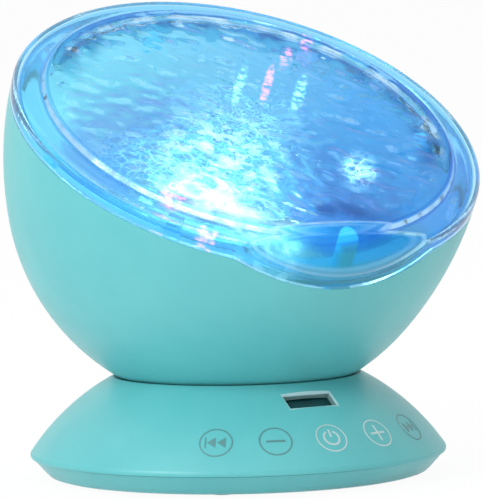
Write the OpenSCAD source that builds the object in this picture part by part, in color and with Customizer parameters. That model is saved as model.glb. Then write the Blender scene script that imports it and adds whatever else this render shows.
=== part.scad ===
// Wave projector night light. A round bowl with a clear rippled cover leans in the collar of a
// conical base. Lamps in the bowl shine up through a slowly turning rippled disc.
// Millimetres, +Z up, front towards -Y. The origin is on the table under the base's centre.

/* [Head] */
// Radius of the ball-shaped lower part of the bowl
bowl_r = 72; // [71.5:0.1:72.2]
// Height of the ball's centre over the table
head_z = 93.6; // [93.4:0.1:94]
// Lean of the head towards the front at rest, in degrees
lean = 30; // [0:1:45]
// Angle below the ball's equator where the side starts to straighten, in degrees
flare_angle = 21; // [19:1:23]
// Radius of the flatter arc above that
flare_r = 124; // [118:1:130]
// Seam between bowl and cover, over the ball's centre
rim_h = 16; // [15.5:0.1:16.5]
// Wall of the bowl
bowl_wall = 2.4; // [2.2:0.1:2.5]

/* [Cover] */
// Top of the flat ledge round the cover, over the ball's centre
ledge_h = 22.2; // [22:0.1:22.6]
// Top of the raised disc in the middle of the cover
disc_h = 23.8; // [23.4:0.1:24.2]
// Radius of the raised disc
disc_r = 66; // [65:0.5:66.5]
// Width of the groove round the disc
groove_w = 1.3; // [1:0.1:1.6]
// Radius of the rounded shoulder at the cover's edge
shoulder_r = 3; // [2.6:0.1:3.2]
// Wall of the cover
cover_wall = 2.2; // [2:0.1:2.4]
// Lowest level of the seam under the scoop
dip_h = 8.6; // [8.4:0.1:9.4]
// Radius of the dip in the seam
dip_r = 85; // [80:1:88]

/* [Base] */
// Widest radius of the base
base_r = 66; // [65:0.5:67]
// Height of the base's widest edge
edge_z = 8.5; // [8.3:0.1:9]
// Height of the seam between the two halves of the base
seam_z = 7.2; // [7:0.1:7.4]
// Radius of the flat underside
floor_r = 59; // [58:0.5:60]
// How far the sloping top swells past a straight line
bulge = 2.2; // [1.8:0.1:2.6]
// Wall of the base
base_wall = 2.2; // [2:0.1:2.4]
// Height of the rubber feet under the base
foot_gap = 1; // [0.8:0.1:1.2]

/* [Front panel] */
// Radius of the circle that the touch keys lie on
key_ring_r = 59.2; // [58.5:0.1:60]
// Angle from one touch key to the next, in degrees
key_step = 17.8; // [17:0.1:18.5]
// Diameter of a touch key
key_d = 10.5; // [9:0.5:11]
// Distance of the sensor window from the centre
window_y = 46.6; // [46:0.1:47.5]
// Width of the window's opening
window_w = 16.4; // [15:0.1:18]
// Height of the window's opening along the slope
window_l = 5.8; // [5:0.1:6.5]

/* [Tilt clamp] */
// Largest lean of the head, in degrees
lean_max = 45; // [40:1:45]
// Diameter of the hollow post
post_d = 9; // [8.6:0.1:9]
// Width of the slot in the bowl
slot_w = 10.4; // [10:0.1:11]
// Gap between the bowl and the parts that it slides on
slide_gap = 0.3; // [0.25:0.05:0.4]

/* [Wave drive] */
// Size of the gear teeth
tooth_module = 0.8; // [0.8:0.1:0.8]
// Teeth on the gear of the rippled disc
gear_teeth = 45; // [45:1:45]
// Teeth on the motor's pinion
pinion_teeth = 15; // [15:1:15]
// Radius of the rippled disc
rotor_r = 46; // [40:1:48]
// Number of lamps
lamp_count = 12; // [6:1:12]

/* [Hidden] */
$fn = 96;

turquoise = [0.46, 0.82, 0.82];
clear_blue = [0.55, 0.82, 0.98, 0.5];
pale = [0.92, 0.93, 0.94];
steel = [0.72, 0.73, 0.75];
brass = [0.8, 0.66, 0.35];
black = [0.08, 0.08, 0.09];
board_green = [0.1, 0.38, 0.24];
board_white = [0.9, 0.91, 0.9];

// The ball's centre is the origin of the head's own parts; fit is the gap between fixed parts.
fit = 0.15;
play = 0.05;
far = 200;
flare_x = -(flare_r - bowl_r) * cos(flare_angle);
flare_h = (flare_r - bowl_r) * sin(flare_angle);
side_r = flare_x + flare_r;
shoulder_x = side_r - 0.02 - shoulder_r;
shoulder_h = ledge_h - shoulder_r;
groove_floor = ledge_h - 1.1;
tongue_w = 1.2;
tongue_drop = 2.5;
tongue_top = rim_h + 2;
// The scoop's floor is part of a lying cylinder that falls to the front. Its crest is scoop_y from the axis.
scoop_y = 60.5;
scoop_fall = 35;
scoop_r = 200;
// The scoop and the dip below it are turned together about the head's axis.
scoop_turn = -1.5;

// The step joins the tongue to the cover's wall, and bites into that wall so that they are one piece.
step_bite = 0.4;
step_in = cover_wall - step_bite;
step_w = bowl_wall + fit + tongue_w / 2 - step_in;

// Cover hooks stand at four corners and hold the reflector dish's flange.
hook_r = 68.6;
hook_t = 1.4;
hook_w = 5;
hook_angles = [45, 135, 225, 315];
flange_h = 10;
flange_t = 1.5;
flange_r = 70.6;
dish_r = 60.8;
dish_wall = 1.6;
deck_h = -26;
deck_t = 2;
peg = [4, -63.4];
peg_r = 3.25;
dish_boss_r = 66;
dish_boss_angles = [0, 90, 180];
dish_hole_r = 1.1;

// Base outline: the sloping top is one arc from the collar's edge to the widest edge.
lip_gap = 0.6;
lip_depth = 2;
edge_r = 1.5;
skirt_top = [39.4, 32.4];
skirt_foot = [base_r, edge_z];
skirt_half = norm(skirt_foot - skirt_top) / 2;
skirt_r = (skirt_half * skirt_half + bulge * bulge) / (2 * bulge);
skirt_dir = (skirt_foot - skirt_top) / (2 * skirt_half);
skirt_mid = (skirt_foot + skirt_top) / 2;
skirt_c = skirt_mid - [-skirt_dir[1], skirt_dir[0]] * (skirt_r - bulge);
edge_x = base_r - edge_r;
edge_slope = asin((edge_x - skirt_c[0]) / (skirt_r - edge_r));
edge_c = skirt_c + (skirt_r - edge_r) * [sin(edge_slope), cos(edge_slope)];
lip_r = base_r - 0.8;
seat_gap = 1.6;
seat_wall = 2.4;
seat_under = bowl_r + seat_gap + seat_wall;
collar_rise = skirt_top[1] - lip_depth;

function slope_at(r) = asin((r - skirt_c[0]) / skirt_r);
function skirt_z(r) = skirt_c[1] + skirt_r * cos(slope_at(r));
function polar(r, a) = [r * cos(a), r * sin(a)];

// Base interior
pan_floor = foot_gap + 2;
pillar_r = 48;
pillar_angles = [55, 125, 235, 305];
foot_ring_r = 42;
foot_angles = [30, 150, 210, 330];
foot_r = 6;
foot_h = 1.8;
board_z = 8.4;
board_t = 1.6;
board_holes = [[-18, -49], [18, -49], [-18, -29], [18, -29]];
pocket_y = 54;
pocket_w = 28;
pocket_floor = 10.2;
pocket_wall = 1.8;
jack_z = 15.2;
audio_x = 6.8;
power_x = -6.8;
jack_board_z = 10.6;
jack_board_t = 1.2;
speaker_y = 24;
speaker_r = 18;
ear_x = 20.5;
window_chamfer = 0.9;
rib_x = 9.85;
sensor_depth = 10.4;

// Marks printed on the touch keys
ink_t = 0.08;
ink_line = 0.45;
sign_line = 0.7;
sign_h = 3.8;
sign_step = 3;

// Tilt clamp, measured along the post
boss_top = head_z - bowl_r - 1.4;
post_flange_t = 2.5;
boss_bottom = head_z - bowl_r - seat_gap - seat_wall - 0.4;
post_bottom = boss_bottom - play - post_flange_t;
post_top = 44;
post_bore_r = 3;
cable_r = 1.8;
cable_x = 9;
saddle_r = bowl_r - bowl_wall - slide_gap;
saddle_t = 2;
saddle_w = 16;
saddle_reach = 50;
hub_top = 28.6;
spring_t = 1.2;
spring_count = 4;
washer_z = hub_top + spring_count * (spring_t + play) + play;
washer_t = 1.5;
nut_z = washer_z + washer_t + play;
nut_t = 5;

// Wave drive, measured along the head's axis
gear_r = tooth_module * gear_teeth / 2;
pinion_r = tooth_module * pinion_teeth / 2;
motor_y = gear_r + pinion_r;
axle_r = 1.5;
shaft_r = 1;
board_top_h = deck_h + 1 + 1.2;
gear_h = -20.5;
gear_t = 4;
rotor_h = -13.5;
rotor_t = 2.5;
hub_top_h = -8;
lamp_ring_r = 26;
gearbox_r = 10;
gearbox_bottom = -35.5;
motor_bottom = -46;

// ---- Placing ----

// Head parts are drawn upright about the ball's centre, then leaned forward.
module in_head() {
    translate([0, 0, head_z])
        rotate([lean, 0, 0])
            children();
}

// Puts the X axis of a part at radius r and angle a on a circle about Z.
module on_ring(r, a) {
    rotate([0, 0, a])
        translate([r, 0, 0])
            children();
}

// A frame on the sloping front of the base: Z points out of the slope, Y up the slope.
module on_slope(r, turn) {
    rotate([0, 0, turn])
        translate([0, -r, skirt_z(r)])
            rotate([slope_at(r), 0, 0])
                children();
}

// Turns a part drawn about Z so that its axis is X and its zero angle points down.
module about_tilt_axis() {
    rotate([0, 90, 0])
        children();
}

// ---- Shared shapes ----

module ring(r_out, r_in, h) {
    difference() {
        cylinder(r = r_out, h = h);
        translate([0, 0, -1])
            cylinder(r = r_in, h = h + 2);
    }
}

// Crosshead screw: head on top at z = 0, shank below it.
module screw(head_r, head_t, shank_r, shank_l) {
    difference() {
        union() {
            cylinder(r = head_r, h = head_t);
            translate([0, 0, -shank_l])
                cylinder(r = shank_r, h = shank_l + head_t / 2);
        }
        for (a = [0, 90])
            rotate([0, 0, a])
                translate([-head_r * 0.6, -0.25, head_t - 0.7])
                    cube([head_r * 1.2, 0.5, 1]);
    }
}

// Involute gear outline. Half the tooth angle shrinks as the radius grows past the base circle.
function involute(a) = tan(a) * 180 / PI - a;
function tooth_half(z, r) =
    90 / z - 5.2 / z + involute(20) - involute(acos(min(1, tooth_module * z * cos(20) / 2 / r)));
function gear_flank(z) =
    let (pitch = tooth_module * z / 2, low = max(pitch * cos(20), pitch - tooth_module * 0.9))
    [for (i = [0:4]) low + (pitch + tooth_module * 0.9 - low) * i / 4];
module gear_outline(z) {
    root = tooth_module * (z / 2 - 1.2);
    flank = gear_flank(z);
    polygon([
        for (k = [0:z - 1])
            let (mid = k * 360 / z)
            each concat(
                [polar(root, mid - tooth_half(z, flank[0]))],
                [for (r = flank) polar(r, mid - tooth_half(z, r))],
                [for (i = [4:-1:0]) polar(flank[i], mid + tooth_half(z, flank[i]))],
                [polar(root, mid + tooth_half(z, flank[0]))]
            )
    ]);
}

// ---- Outlines of the head, right of its axis ----

// Ball below the flare line, flatter arc above it, both drawn inset by a wall.
module head_outline(inset, top) {
    reach = [far * cos(flare_angle), -far * sin(flare_angle)];
    intersection() {
        circle(r = bowl_r - inset);
        polygon([[0, 0], reach, [0, -far]]);
    }
    intersection() {
        translate([flare_x, flare_h])
            circle(r = flare_r - inset);
        polygon([[0, 0], reach, [far, top], [0, top]]);
    }
}

// Whole outside of bowl and cover: side, rounded shoulder, ledge and raised disc.
module cover_outline(inset) {
    head_outline(inset, shoulder_h);
    translate([shoulder_x, shoulder_h])
        intersection() {
            circle(r = shoulder_r - inset * 0.95);
            square(far);
        }
    square([shoulder_x, ledge_h - inset]);
    square([disc_r - inset - 0.8, disc_h - inset]);
    translate([disc_r - inset - 0.8, disc_h - inset - 0.8])
        intersection() {
            circle(r = 0.8);
            square(far);
        }
    translate([0, ledge_h - inset - 1])
        square([disc_r - inset, disc_h - ledge_h + 0.2]);
}

// Round the scoop's floor; grow lowers the floor by that much.
module scoop_tool(grow) {
    rotate([0, 0, scoop_turn])
        translate([0, -scoop_y - scoop_r * sin(scoop_fall), disc_h + scoop_r * cos(scoop_fall)])
            rotate([90 + scoop_fall, 0, 0])
                cylinder(r = scoop_r + grow, h = far, center = true, $fn = 128);
}

// The dip in the seam, in the front half only.
module seam_dip(gap, drop) {
    translate([0, 0, dip_h + dip_r - drop])
        rotate([90, 0, scoop_turn])
            cylinder(r = dip_r - gap, h = far / 2);
}

// Everything above the seam, with the dip; drop lowers the seam.
module above_seam(gap, drop) {
    translate([-far / 2, -far / 2, rim_h + gap - drop])
        cube([far, far, far / 2]);
    seam_dip(gap, drop);
}

// ---- Base: casing ----

// The sloping top runs into a small round at the widest edge.
module skirt_outline() {
    out = [sin(edge_slope), cos(edge_slope)];
    intersection() {
        translate(skirt_c)
            circle(r = skirt_r, $fn = 128);
        polygon([
            [0, seam_z], [edge_x, seam_z], edge_c, edge_c + far * out, [0, far]
        ]);
        square([far, skirt_top[1]]);
    }
    intersection() {
        translate(edge_c)
            circle(r = edge_r);
        translate([0, seam_z])
            square([far, 10]);
    }
}

module skirt_solid() {
    rotate_extrude()
        skirt_outline();
}

// Sloping skirt and the hollow seat under the bowl, in one outline.
module shell_outline() {
    difference() {
        skirt_outline();
        translate([0, head_z])
            circle(r = bowl_r + lip_gap);
        intersection() {
            translate([0, head_z])
                circle(r = bowl_r + seat_gap);
            square([far, collar_rise]);
        }
        difference() {
            intersection() {
                translate(skirt_c)
                    circle(r = skirt_r - base_wall, $fn = 128);
                square([far, skirt_top[1]]);
            }
            translate([0, head_z])
                circle(r = seat_under);
        }
    }
}

// Trapezoid across the window's width or length: chamfered at the surface, straight below.
module window_section(size) {
    half = size / 2;
    wide = half + 2 * window_chamfer;
    polygon([
        [-half, -8], [half, -8], [half, -window_chamfer], [wide, window_chamfer],
        [-wide, window_chamfer], [-half, -window_chamfer]
    ]);
}

module window_cut() {
    on_slope(window_y, 0)
        intersection() {
            rotate([90, 0, 0])
                linear_extrude(height = 40, center = true)
                    window_section(window_w);
            rotate([90, 0, 90])
                linear_extrude(height = 40, center = true)
                    window_section(window_l);
        }
}

// Two ribs beside the window hold its lens and the sensor's board.
module window_ribs() {
    on_slope(window_y, 0)
        for (s = [-1, 1])
            translate([s * (rib_x + 0.8) - 0.8, -4, -sensor_depth - 1])
                cube([1.6, 8, sensor_depth]);
}

module jack_pocket() {
    translate([-pocket_w / 2, pocket_y, pocket_floor])
        cube([pocket_w, far, far]);
}

module pocket_block() {
    outer = pocket_w + 2 * pocket_wall;
    intersection() {
        skirt_solid();
        translate([-outer / 2, pocket_y - pocket_wall, pocket_floor - pocket_wall])
            cube([outer, far, far]);
    }
}

module jack_holes() {
    translate([audio_x, pocket_y + 1, jack_z])
        rotate([90, 0, 0])
            cylinder(r = 3.1, h = 4);
    translate([power_x, pocket_y + 1, jack_z])
        rotate([90, 0, 0])
            cylinder(r = 4.1, h = 4);
}

module base_shell() {
    color(turquoise)
        difference() {
            union() {
                rotate_extrude()
                    shell_outline();
                pocket_block();
                translate([0, 0, boss_bottom])
                    cylinder(r = 9.5, h = boss_top - boss_bottom);
                window_ribs();
                intersection() {
                    skirt_solid();
                    for (a = pillar_angles)
                        rotate([0, 0, a])
                            translate([pillar_r, 0, board_z + 1])
                                cylinder(r = 3.2, h = far);
                }
            }
            translate([0, 0, head_z])
                sphere(r = bowl_r + lip_gap);
            window_cut();
            jack_pocket();
            jack_holes();
            cylinder(r = post_d / 2 + play, h = 40);
            for (a = pillar_angles)
                on_ring(pillar_r, a)
                    translate([0, 0, board_z])
                        cylinder(r = 1.1, h = 9, $fn = 32);
        }
}

// Shallow tapered pan that closes the base from below.
module base_pan() {
    color(turquoise)
        difference() {
            union() {
                rotate_extrude()
                    difference() {
                        polygon([
                            [0, foot_gap], [floor_r - 0.6, foot_gap], [floor_r + 1, foot_gap + 0.5],
                            [floor_r + 2.2, foot_gap + 1.6], [lip_r, seam_z - fit], [0, seam_z - fit]
                        ]);
                        polygon([
                            [0, pan_floor], [floor_r - 1.4, pan_floor], [floor_r, pan_floor + 0.9],
                            [lip_r - 2.6, seam_z + 1], [0, seam_z + 1]
                        ]);
                    }
                difference() {
                    translate([0, 0, seam_z - 2.4])
                        ring(62.3, 60.9, 4.5);
                    translate([-pocket_w / 2 - 3, 0, 0])
                        cube([pocket_w + 6, far, far]);
                    for (s = [-1, 1])
                        translate([0, 0, seam_z - 2.8])
                            rotate([0, 0, s * 20 - 90])
                                translate([floor_r - 2, -1.5, 0])
                                    cube([8, 3, 8]);
                }
                for (a = pillar_angles)
                    on_ring(pillar_r, a)
                        cylinder(r = 3.6, h = board_z + 0.8);
                for (p = board_holes)
                    translate([p[0], p[1], foot_gap + 1])
                        cylinder(r = 2.4, h = board_z - foot_gap - 1);
                for (s = [-1, 1]) {
                    translate([s * 11, 47.5, foot_gap + 1])
                        cylinder(r = 2.2, h = jack_board_z - foot_gap - 1);
                    translate([s * ear_x, speaker_y, foot_gap + 1])
                        cylinder(r = 2.6, h = pan_floor + 0.8 - foot_gap - 1);
                }
            }
            for (a = pillar_angles)
                on_ring(pillar_r, a) {
                    cylinder(r = 1.5, h = 20, $fn = 32);
                    translate([0, 0, -1])
                        cylinder(r = 2.9, h = 5);
                }
            for (a = foot_angles)
                on_ring(foot_ring_r, a)
                    cylinder(r = foot_r + 0.1, h = foot_h);
            for (p = board_holes)
                translate([p[0], p[1], pan_floor])
                    cylinder(r = 0.9, h = 20, $fn = 32);
            for (s = [-1, 1]) {
                translate([s * 11, 47.5, pan_floor])
                    cylinder(r = 0.9, h = 20, $fn = 32);
                translate([s * ear_x, speaker_y, foot_gap + 0.8])
                    cylinder(r = 0.9, h = 20, $fn = 32);
            }
            translate([0, speaker_y, 0])
                speaker_grille();
        }
}

// Three rings of holes round a centre hole.
module speaker_grille() {
    for (k = [0:3])
        for (i = [0:max(0, 6 * k - 1)])
            rotate([0, 0, i * 60 / max(1, k)])
                translate([k * 3.9, 0, 0])
                    cylinder(r = 1, h = 10, $fn = 32);
}

module rubber_feet() {
    color(pale)
        for (a = foot_angles)
            on_ring(foot_ring_r, a) {
                cylinder(r = foot_r, h = foot_h);
            }
}

module base_screws() {
    color(steel)
        for (a = pillar_angles)
            on_ring(pillar_r, a)
                translate([0, 0, 4 - play])
                    mirror([0, 0, 1])
                        screw(2.6, 1.8, 1.05, 12);
}

// ---- Base: front panel ----

// A thin layer on the inside of the skirt, between two depths under its surface.
module skirt_layer(d0, d1, r0, r1) {
    rotate_extrude()
        intersection() {
            difference() {
                translate(skirt_c)
                    circle(r = skirt_r - d0, $fn = 128);
                translate(skirt_c)
                    circle(r = skirt_r - d1, $fn = 128);
            }
            translate([r0, 0])
                square([r1 - r0, far]);
        }
}

// Smoked window behind the opening in the slope.
module window_lens() {
    color([0.2, 0.25, 0.26])
        on_slope(window_y, 0)
            translate([-rib_x + fit, -(window_l + 3) / 2, -base_wall - 2.1])
                cube([2 * (rib_x - fit), window_l + 3, 1.4]);
}

module sensor_board() {
    color(board_green)
        on_slope(window_y, 0)
            translate([-rib_x + fit, -4, -sensor_depth - 1])
                cube([2 * (rib_x - fit), 8, 1]);
}

// Receiver with a small lens on its face.
module ir_receiver() {
    color(black)
        on_slope(window_y, 0)
            translate([0, 0, -sensor_depth + play]) {
                translate([-3, -2.5, 0])
                    cube([6, 5, 3]);
                translate([0, 0, 3])
                    intersection() {
                        sphere(r = 2, $fn = 48);
                        translate([-2, -2, -0.5])
                            cube([4, 4, 3]);
                    }
            }
}

module touch_flex() {
    color([0.75, 0.45, 0.15])
        intersection() {
            skirt_layer(base_wall + 0.5, base_wall + 0.75, key_ring_r - 6, key_ring_r + 1.7);
            rotate([0, 0, -90 - 2.4 * key_step])
                rotate_extrude(angle = 4.8 * key_step)
                    square([far, 40]);
        }
}

module touch_pads() {
    color(brass)
        for (i = [-2:2])
            intersection() {
                skirt_layer(base_wall + play, base_wall + 0.45, 40, far);
                on_slope(key_ring_r, i * key_step)
                    cylinder(r = key_d / 2 - 0.8, h = 12, center = true);
            }
}

// Bar and two triangles that point to the left.
module skip_sign() {
    translate([-sign_step - ink_line, -sign_h / 2])
        square([ink_line, sign_h]);
    for (x = [-sign_step + 0.3, 0.4])
        polygon([[x, 0], [x + sign_step - 0.4, -sign_h / 2], [x + sign_step - 0.4, sign_h / 2]]);
}

module minus_sign() {
    square([2 * sign_step, sign_line], center = true);
}

// Ring with an opening at the top and a bar through it.
module power_sign() {
    difference() {
        circle(r = 2.9);
        circle(r = 2.9 - sign_line);
        polygon([[0, 0], [3, 6], [-3, 6]]);
    }
    translate([-sign_line / 2, 0.3])
        square([sign_line, 2.9]);
}

// One mark: previous, minus, power, plus or next, with the ring round it.
module key_mark(i) {
    difference() {
        circle(r = key_d / 2);
        circle(r = key_d / 2 - ink_line);
    }
    if (i == -2)
        skip_sign();
    if (i == -1 || i == 1)
        minus_sign();
    if (i == 0)
        power_sign();
    if (i == 1)
        rotate(90)
            minus_sign();
    if (i == 2)
        mirror([1, 0])
            skip_sign();
}

module key_prints() {
    color(pale)
        intersection() {
            skirt_layer(-ink_t - 0.01, -0.01, 45, far);
            for (i = [-2:2])
                on_slope(key_ring_r, i * key_step)
                    translate([0, 0, -4])
                        linear_extrude(height = 6)
                            key_mark(i);
        }
}

// ---- Base: electronics ----

module main_board() {
    color(board_green)
        difference() {
            intersection() {
                translate([-22, -56, board_z])
                    cube([44, 32, board_t]);
                cylinder(r = 56, h = 20);
            }
            for (p = board_holes)
                translate([p[0], p[1], 0])
                    cylinder(r = 1.15, h = 20, $fn = 32);
        }
}

// Control chip, amplifier chip, two capacitors, crystal and two sockets.
module board_parts() {
    top = board_z + board_t + play;
    color(black) {
        translate([-9, -46, top])
            cube([8, 8, 1.4]);
        translate([6, -45, top])
            cube([6, 5, 1.4]);
    }
    color([0.2, 0.25, 0.5]) {
        translate([16, -39, top])
            cylinder(r = 2.5, h = 7);
        translate([-14, -40, top])
            cylinder(r = 2, h = 6);
    }
    color(steel)
        translate([2, -40, top])
            cube([3, 7, 2]);
    color(pale) {
        translate([-12, -33, top])
            cube([7, 5, 5]);
        translate([-4.5, -28.5, top])
            cube([9, 4.5, 5.5]);
    }
}

module board_screws() {
    color(steel)
        for (p = board_holes)
            translate([p[0], p[1], board_z + board_t + play])
                screw(1.9, 1.3, 0.85, 5.5);
}

module jack_board() {
    color(board_green)
        difference() {
            translate([-14, 38, jack_board_z])
                cube([28, 13.8, jack_board_t]);
            for (s = [-1, 1])
                translate([s * 11, 47.5, 0])
                    cylinder(r = 1.1, h = 20, $fn = 32);
        }
}

// Round power inlet with a centre pin.
module power_jack() {
    floor_z = jack_board_z + jack_board_t + play;
    back = pocket_y - pocket_wall - 0.1;
    color(black) {
        difference() {
            union() {
                translate([power_x - 4.5, 40.5, floor_z])
                    cube([9, back - 40.5, 7]);
                translate([power_x, pocket_y + 0.3, jack_z])
                    rotate([90, 0, 0])
                        cylinder(r = 4, h = 2.4);
            }
            translate([power_x, pocket_y + 1, jack_z])
                rotate([90, 0, 0])
                    cylinder(r = 2.8, h = 10);
        }
        translate([power_x, pocket_y - 0.5, jack_z])
            rotate([90, 0, 0])
                cylinder(r = 0.9, h = 9.5);
    }
}

// Sound inlet for a 3.5 mm plug.
module audio_jack() {
    floor_z = jack_board_z + jack_board_t + play;
    back = pocket_y - pocket_wall - 0.1;
    color(black)
        difference() {
            union() {
                translate([audio_x - 4, 39, floor_z])
                    cube([8, back - 39, 6.4]);
                translate([audio_x, pocket_y + 0.4, jack_z])
                    rotate([90, 0, 0])
                        cylinder(r = 3, h = 4);
            }
            translate([audio_x, pocket_y + 1, jack_z])
                rotate([90, 0, 0])
                    cylinder(r = 1.8, h = 15);
        }
}

// ---- Base: speaker, facing down ----

module speaker_gasket() {
    color(black)
        translate([0, speaker_y, pan_floor])
            ring(speaker_r - 0.4, 14.6, 0.8);
}

module speaker_frame() {
    low = pan_floor + 0.8;
    color(steel)
        translate([0, speaker_y, 0])
            difference() {
                union() {
                    rotate_extrude()
                        polygon([
                            [15.4, low], [speaker_r, low], [speaker_r, low + 1], [17, low + 1],
                            [12, low + 6.4], [4, low + 6.4], [4, low + 5.6], [11.5, low + 5.6],
                            [15.4, low + 1.4]
                        ]);
                    for (s = [-1, 1])
                        translate([s * ear_x, 0, low]) {
                            cylinder(r = 2.8, h = 1);
                            translate([s > 0 ? -4.5 : 0, -2.8, 0])
                                cube([4.5, 5.6, 1]);
                        }
                }
                for (s = [-1, 1])
                    translate([s * ear_x, 0, 0])
                        cylinder(r = 1.2, h = 20, $fn = 32);
            }
}

module speaker_cone() {
    low = pan_floor + 1;
    color([0.16, 0.16, 0.17])
        translate([0, speaker_y, 0])
            rotate_extrude()
                polygon([
                    [0, low + 1.4], [4.5, low + 2.6], [14.2, low], [15.1, low], [15.1, low + 0.4],
                    [14.4, low + 0.5], [5, low + 3.4], [0, low + 2]
                ]);
}

module speaker_magnet() {
    color([0.35, 0.35, 0.37])
        translate([0, speaker_y, pan_floor + 7.2 + play])
            cylinder(r = 11, h = 4.6);
}

module speaker_screws() {
    color(steel)
        for (s = [-1, 1])
            translate([s * ear_x, speaker_y, pan_floor + 1.8 + play])
                screw(1.9, 1.3, 0.85, 2.9);
}

// ---- Tilt clamp: the bowl is squeezed between the friction ring and the saddle ----

module friction_ring() {
    color(black)
        translate([0, 0, head_z])
            rotate_extrude()
                intersection() {
                    difference() {
                        circle(r = bowl_r + seat_gap - 0.1);
                        circle(r = bowl_r + slide_gap);
                    }
                    polygon([[0, 0], far * [sin(18), -cos(18)], far * [sin(26), -cos(26)]]);
                }
}

module pivot_post() {
    color(steel)
        difference() {
            union() {
                translate([0, 0, post_bottom])
                    cylinder(r = post_d / 2, h = post_top - post_bottom);
                translate([0, 0, post_bottom])
                    cylinder(r = 7.5, h = post_flange_t);
            }
            cylinder(r = post_bore_r, h = far);
        }
}

// Curved strip inside the bowl; it clamps the bowl and hides the slot at every lean.
module saddle() {
    color(turquoise)
        translate([0, 0, head_z])
            difference() {
                union() {
                    intersection() {
                        difference() {
                            sphere(r = saddle_r);
                            sphere(r = saddle_r - saddle_t);
                        }
                        about_tilt_axis()
                            rotate([0, 0, -saddle_reach])
                                rotate_extrude(angle = 2 * saddle_reach)
                                    translate([40, -saddle_w / 2])
                                        square([60, saddle_w]);
                    }
                    intersection() {
                        sphere(r = saddle_r);
                        translate([0, 0, -saddle_r - 1])
                            cylinder(r = saddle_w / 2, h = saddle_r + 1 + hub_top - head_z);
                    }
                }
                translate([0, 0, -head_z])
                    cylinder(r = post_d / 2 + 0.1, h = head_z);
            }
}

// Stack of shallow conical spring washers, turned in pairs.
module disc_springs() {
    color(steel)
        for (i = [0:spring_count - 1])
            translate([0, 0, hub_top + play + i * (spring_t + play)])
                rotate_extrude()
                    if (i % 2 == 0)
                        polygon([[4.7, 0.5], [7.6, 0], [7.6, 0.6], [4.7, 1.1]]);
                    else
                        polygon([[4.7, 0], [7.6, 0.5], [7.6, 1.1], [4.7, 0.6]]);
}

module clamp_washer() {
    color(steel)
        translate([0, 0, washer_z])
            ring(7.6, post_d / 2 + 0.1, washer_t);
}

module clamp_nut() {
    color(steel)
        translate([0, 0, nut_z])
            difference() {
                cylinder(r = 8, h = nut_t, $fn = 6);
                translate([0, 0, -1])
                    cylinder(r = post_d / 2 + 0.02, h = nut_t + 2);
            }
}

// Wiring bundle from the main board into the hollow post.
module post_cable() {
    bend = 3.6;
    low = post_bottom - bend;
    start_y = 24;
    color([0.25, 0.25, 0.28]) {
        translate([0, -bend, low])
            rotate([90, 0, 0])
                cylinder(r = cable_r, h = start_y - bend);
        translate([0, -bend, post_bottom])
            rotate([0, 90, 0])
                rotate_extrude(angle = 90)
                    translate([bend, 0])
                        circle(r = cable_r, $fn = 32);
        translate([0, 0, post_bottom])
            cylinder(r = cable_r, h = post_top + 2 - post_bottom);
    }
}

// ---- Head: bowl and cover ----

// The slot lets the post stand upright at every lean of the bowl.
module post_slot() {
    end = asin(slot_w / 2 / bowl_r);
    about_tilt_axis()
        rotate([0, 0, -lean_max - end])
            rotate_extrude(angle = lean_max + 2 * end)
                translate([60, -slot_w / 2])
                    square([30, slot_w]);
}

module bowl() {
    color(turquoise)
        in_head()
            difference() {
                union() {
                    difference() {
                        rotate_extrude()
                            head_outline(0, rim_h);
                        rotate_extrude()
                            head_outline(bowl_wall, rim_h + 10);
                    }
                    intersection() {
                        rotate_extrude()
                            head_outline(1, rim_h);
                        for (a = dish_boss_angles)
                            on_ring(dish_boss_r, a)
                                translate([0, 0, -30])
                                    cylinder(r = 3, h = 30 + flange_h - flange_t - play);
                    }
                }
                seam_dip(0, 0);
                post_slot();
                for (a = dish_boss_angles)
                    on_ring(dish_boss_r, a)
                        translate([0, 0, -4])
                            cylinder(r = dish_hole_r, h = 20, $fn = 32);
            }
}

module cover_hook() {
    translate([hook_r, -hook_w / 2, flange_h - flange_t - 1.6])
        cube([hook_t, hook_w, ledge_h - cover_wall - flange_h + flange_t + 2.6]);
    translate([hook_r - 1.1, -hook_w / 2, flange_h - flange_t - 1.6])
        cube([1.6, hook_w, 1.4]);
}

// Ring inside the cover's side: the tongue in the bowl's edge, and the step that carries the tongue.
module cover_ring(inset, thick, top, drop) {
    intersection() {
        rotate_extrude()
            difference() {
                head_outline(inset, top);
                head_outline(inset + thick, top);
            }
        above_seam(fit, drop);
        difference() {
            cylinder(r = far, h = far);
            scoop_tool(cover_wall / 2);
        }
    }
}

// One clear moulding: side band with the dip, rounded shoulder, ledge, groove, disc and scoop.
module clear_cover() {
    color(clear_blue)
        in_head() {
            difference() {
                intersection() {
                    rotate_extrude()
                        difference() {
                            cover_outline(0);
                            translate([disc_r, groove_floor])
                                square([groove_w, 10]);
                        }
                    above_seam(fit, 0);
                }
                difference() {
                    rotate_extrude()
                        cover_outline(cover_wall);
                    scoop_tool(cover_wall);
                }
                scoop_tool(0);
            }
            cover_ring(bowl_wall + fit, tongue_w, tongue_top, tongue_drop);
            cover_ring(step_in, step_w, tongue_top - step_bite, -step_bite);
            for (a = hook_angles)
                rotate([0, 0, a])
                    cover_hook();
        }
}

// ---- Head: inside ----

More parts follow.
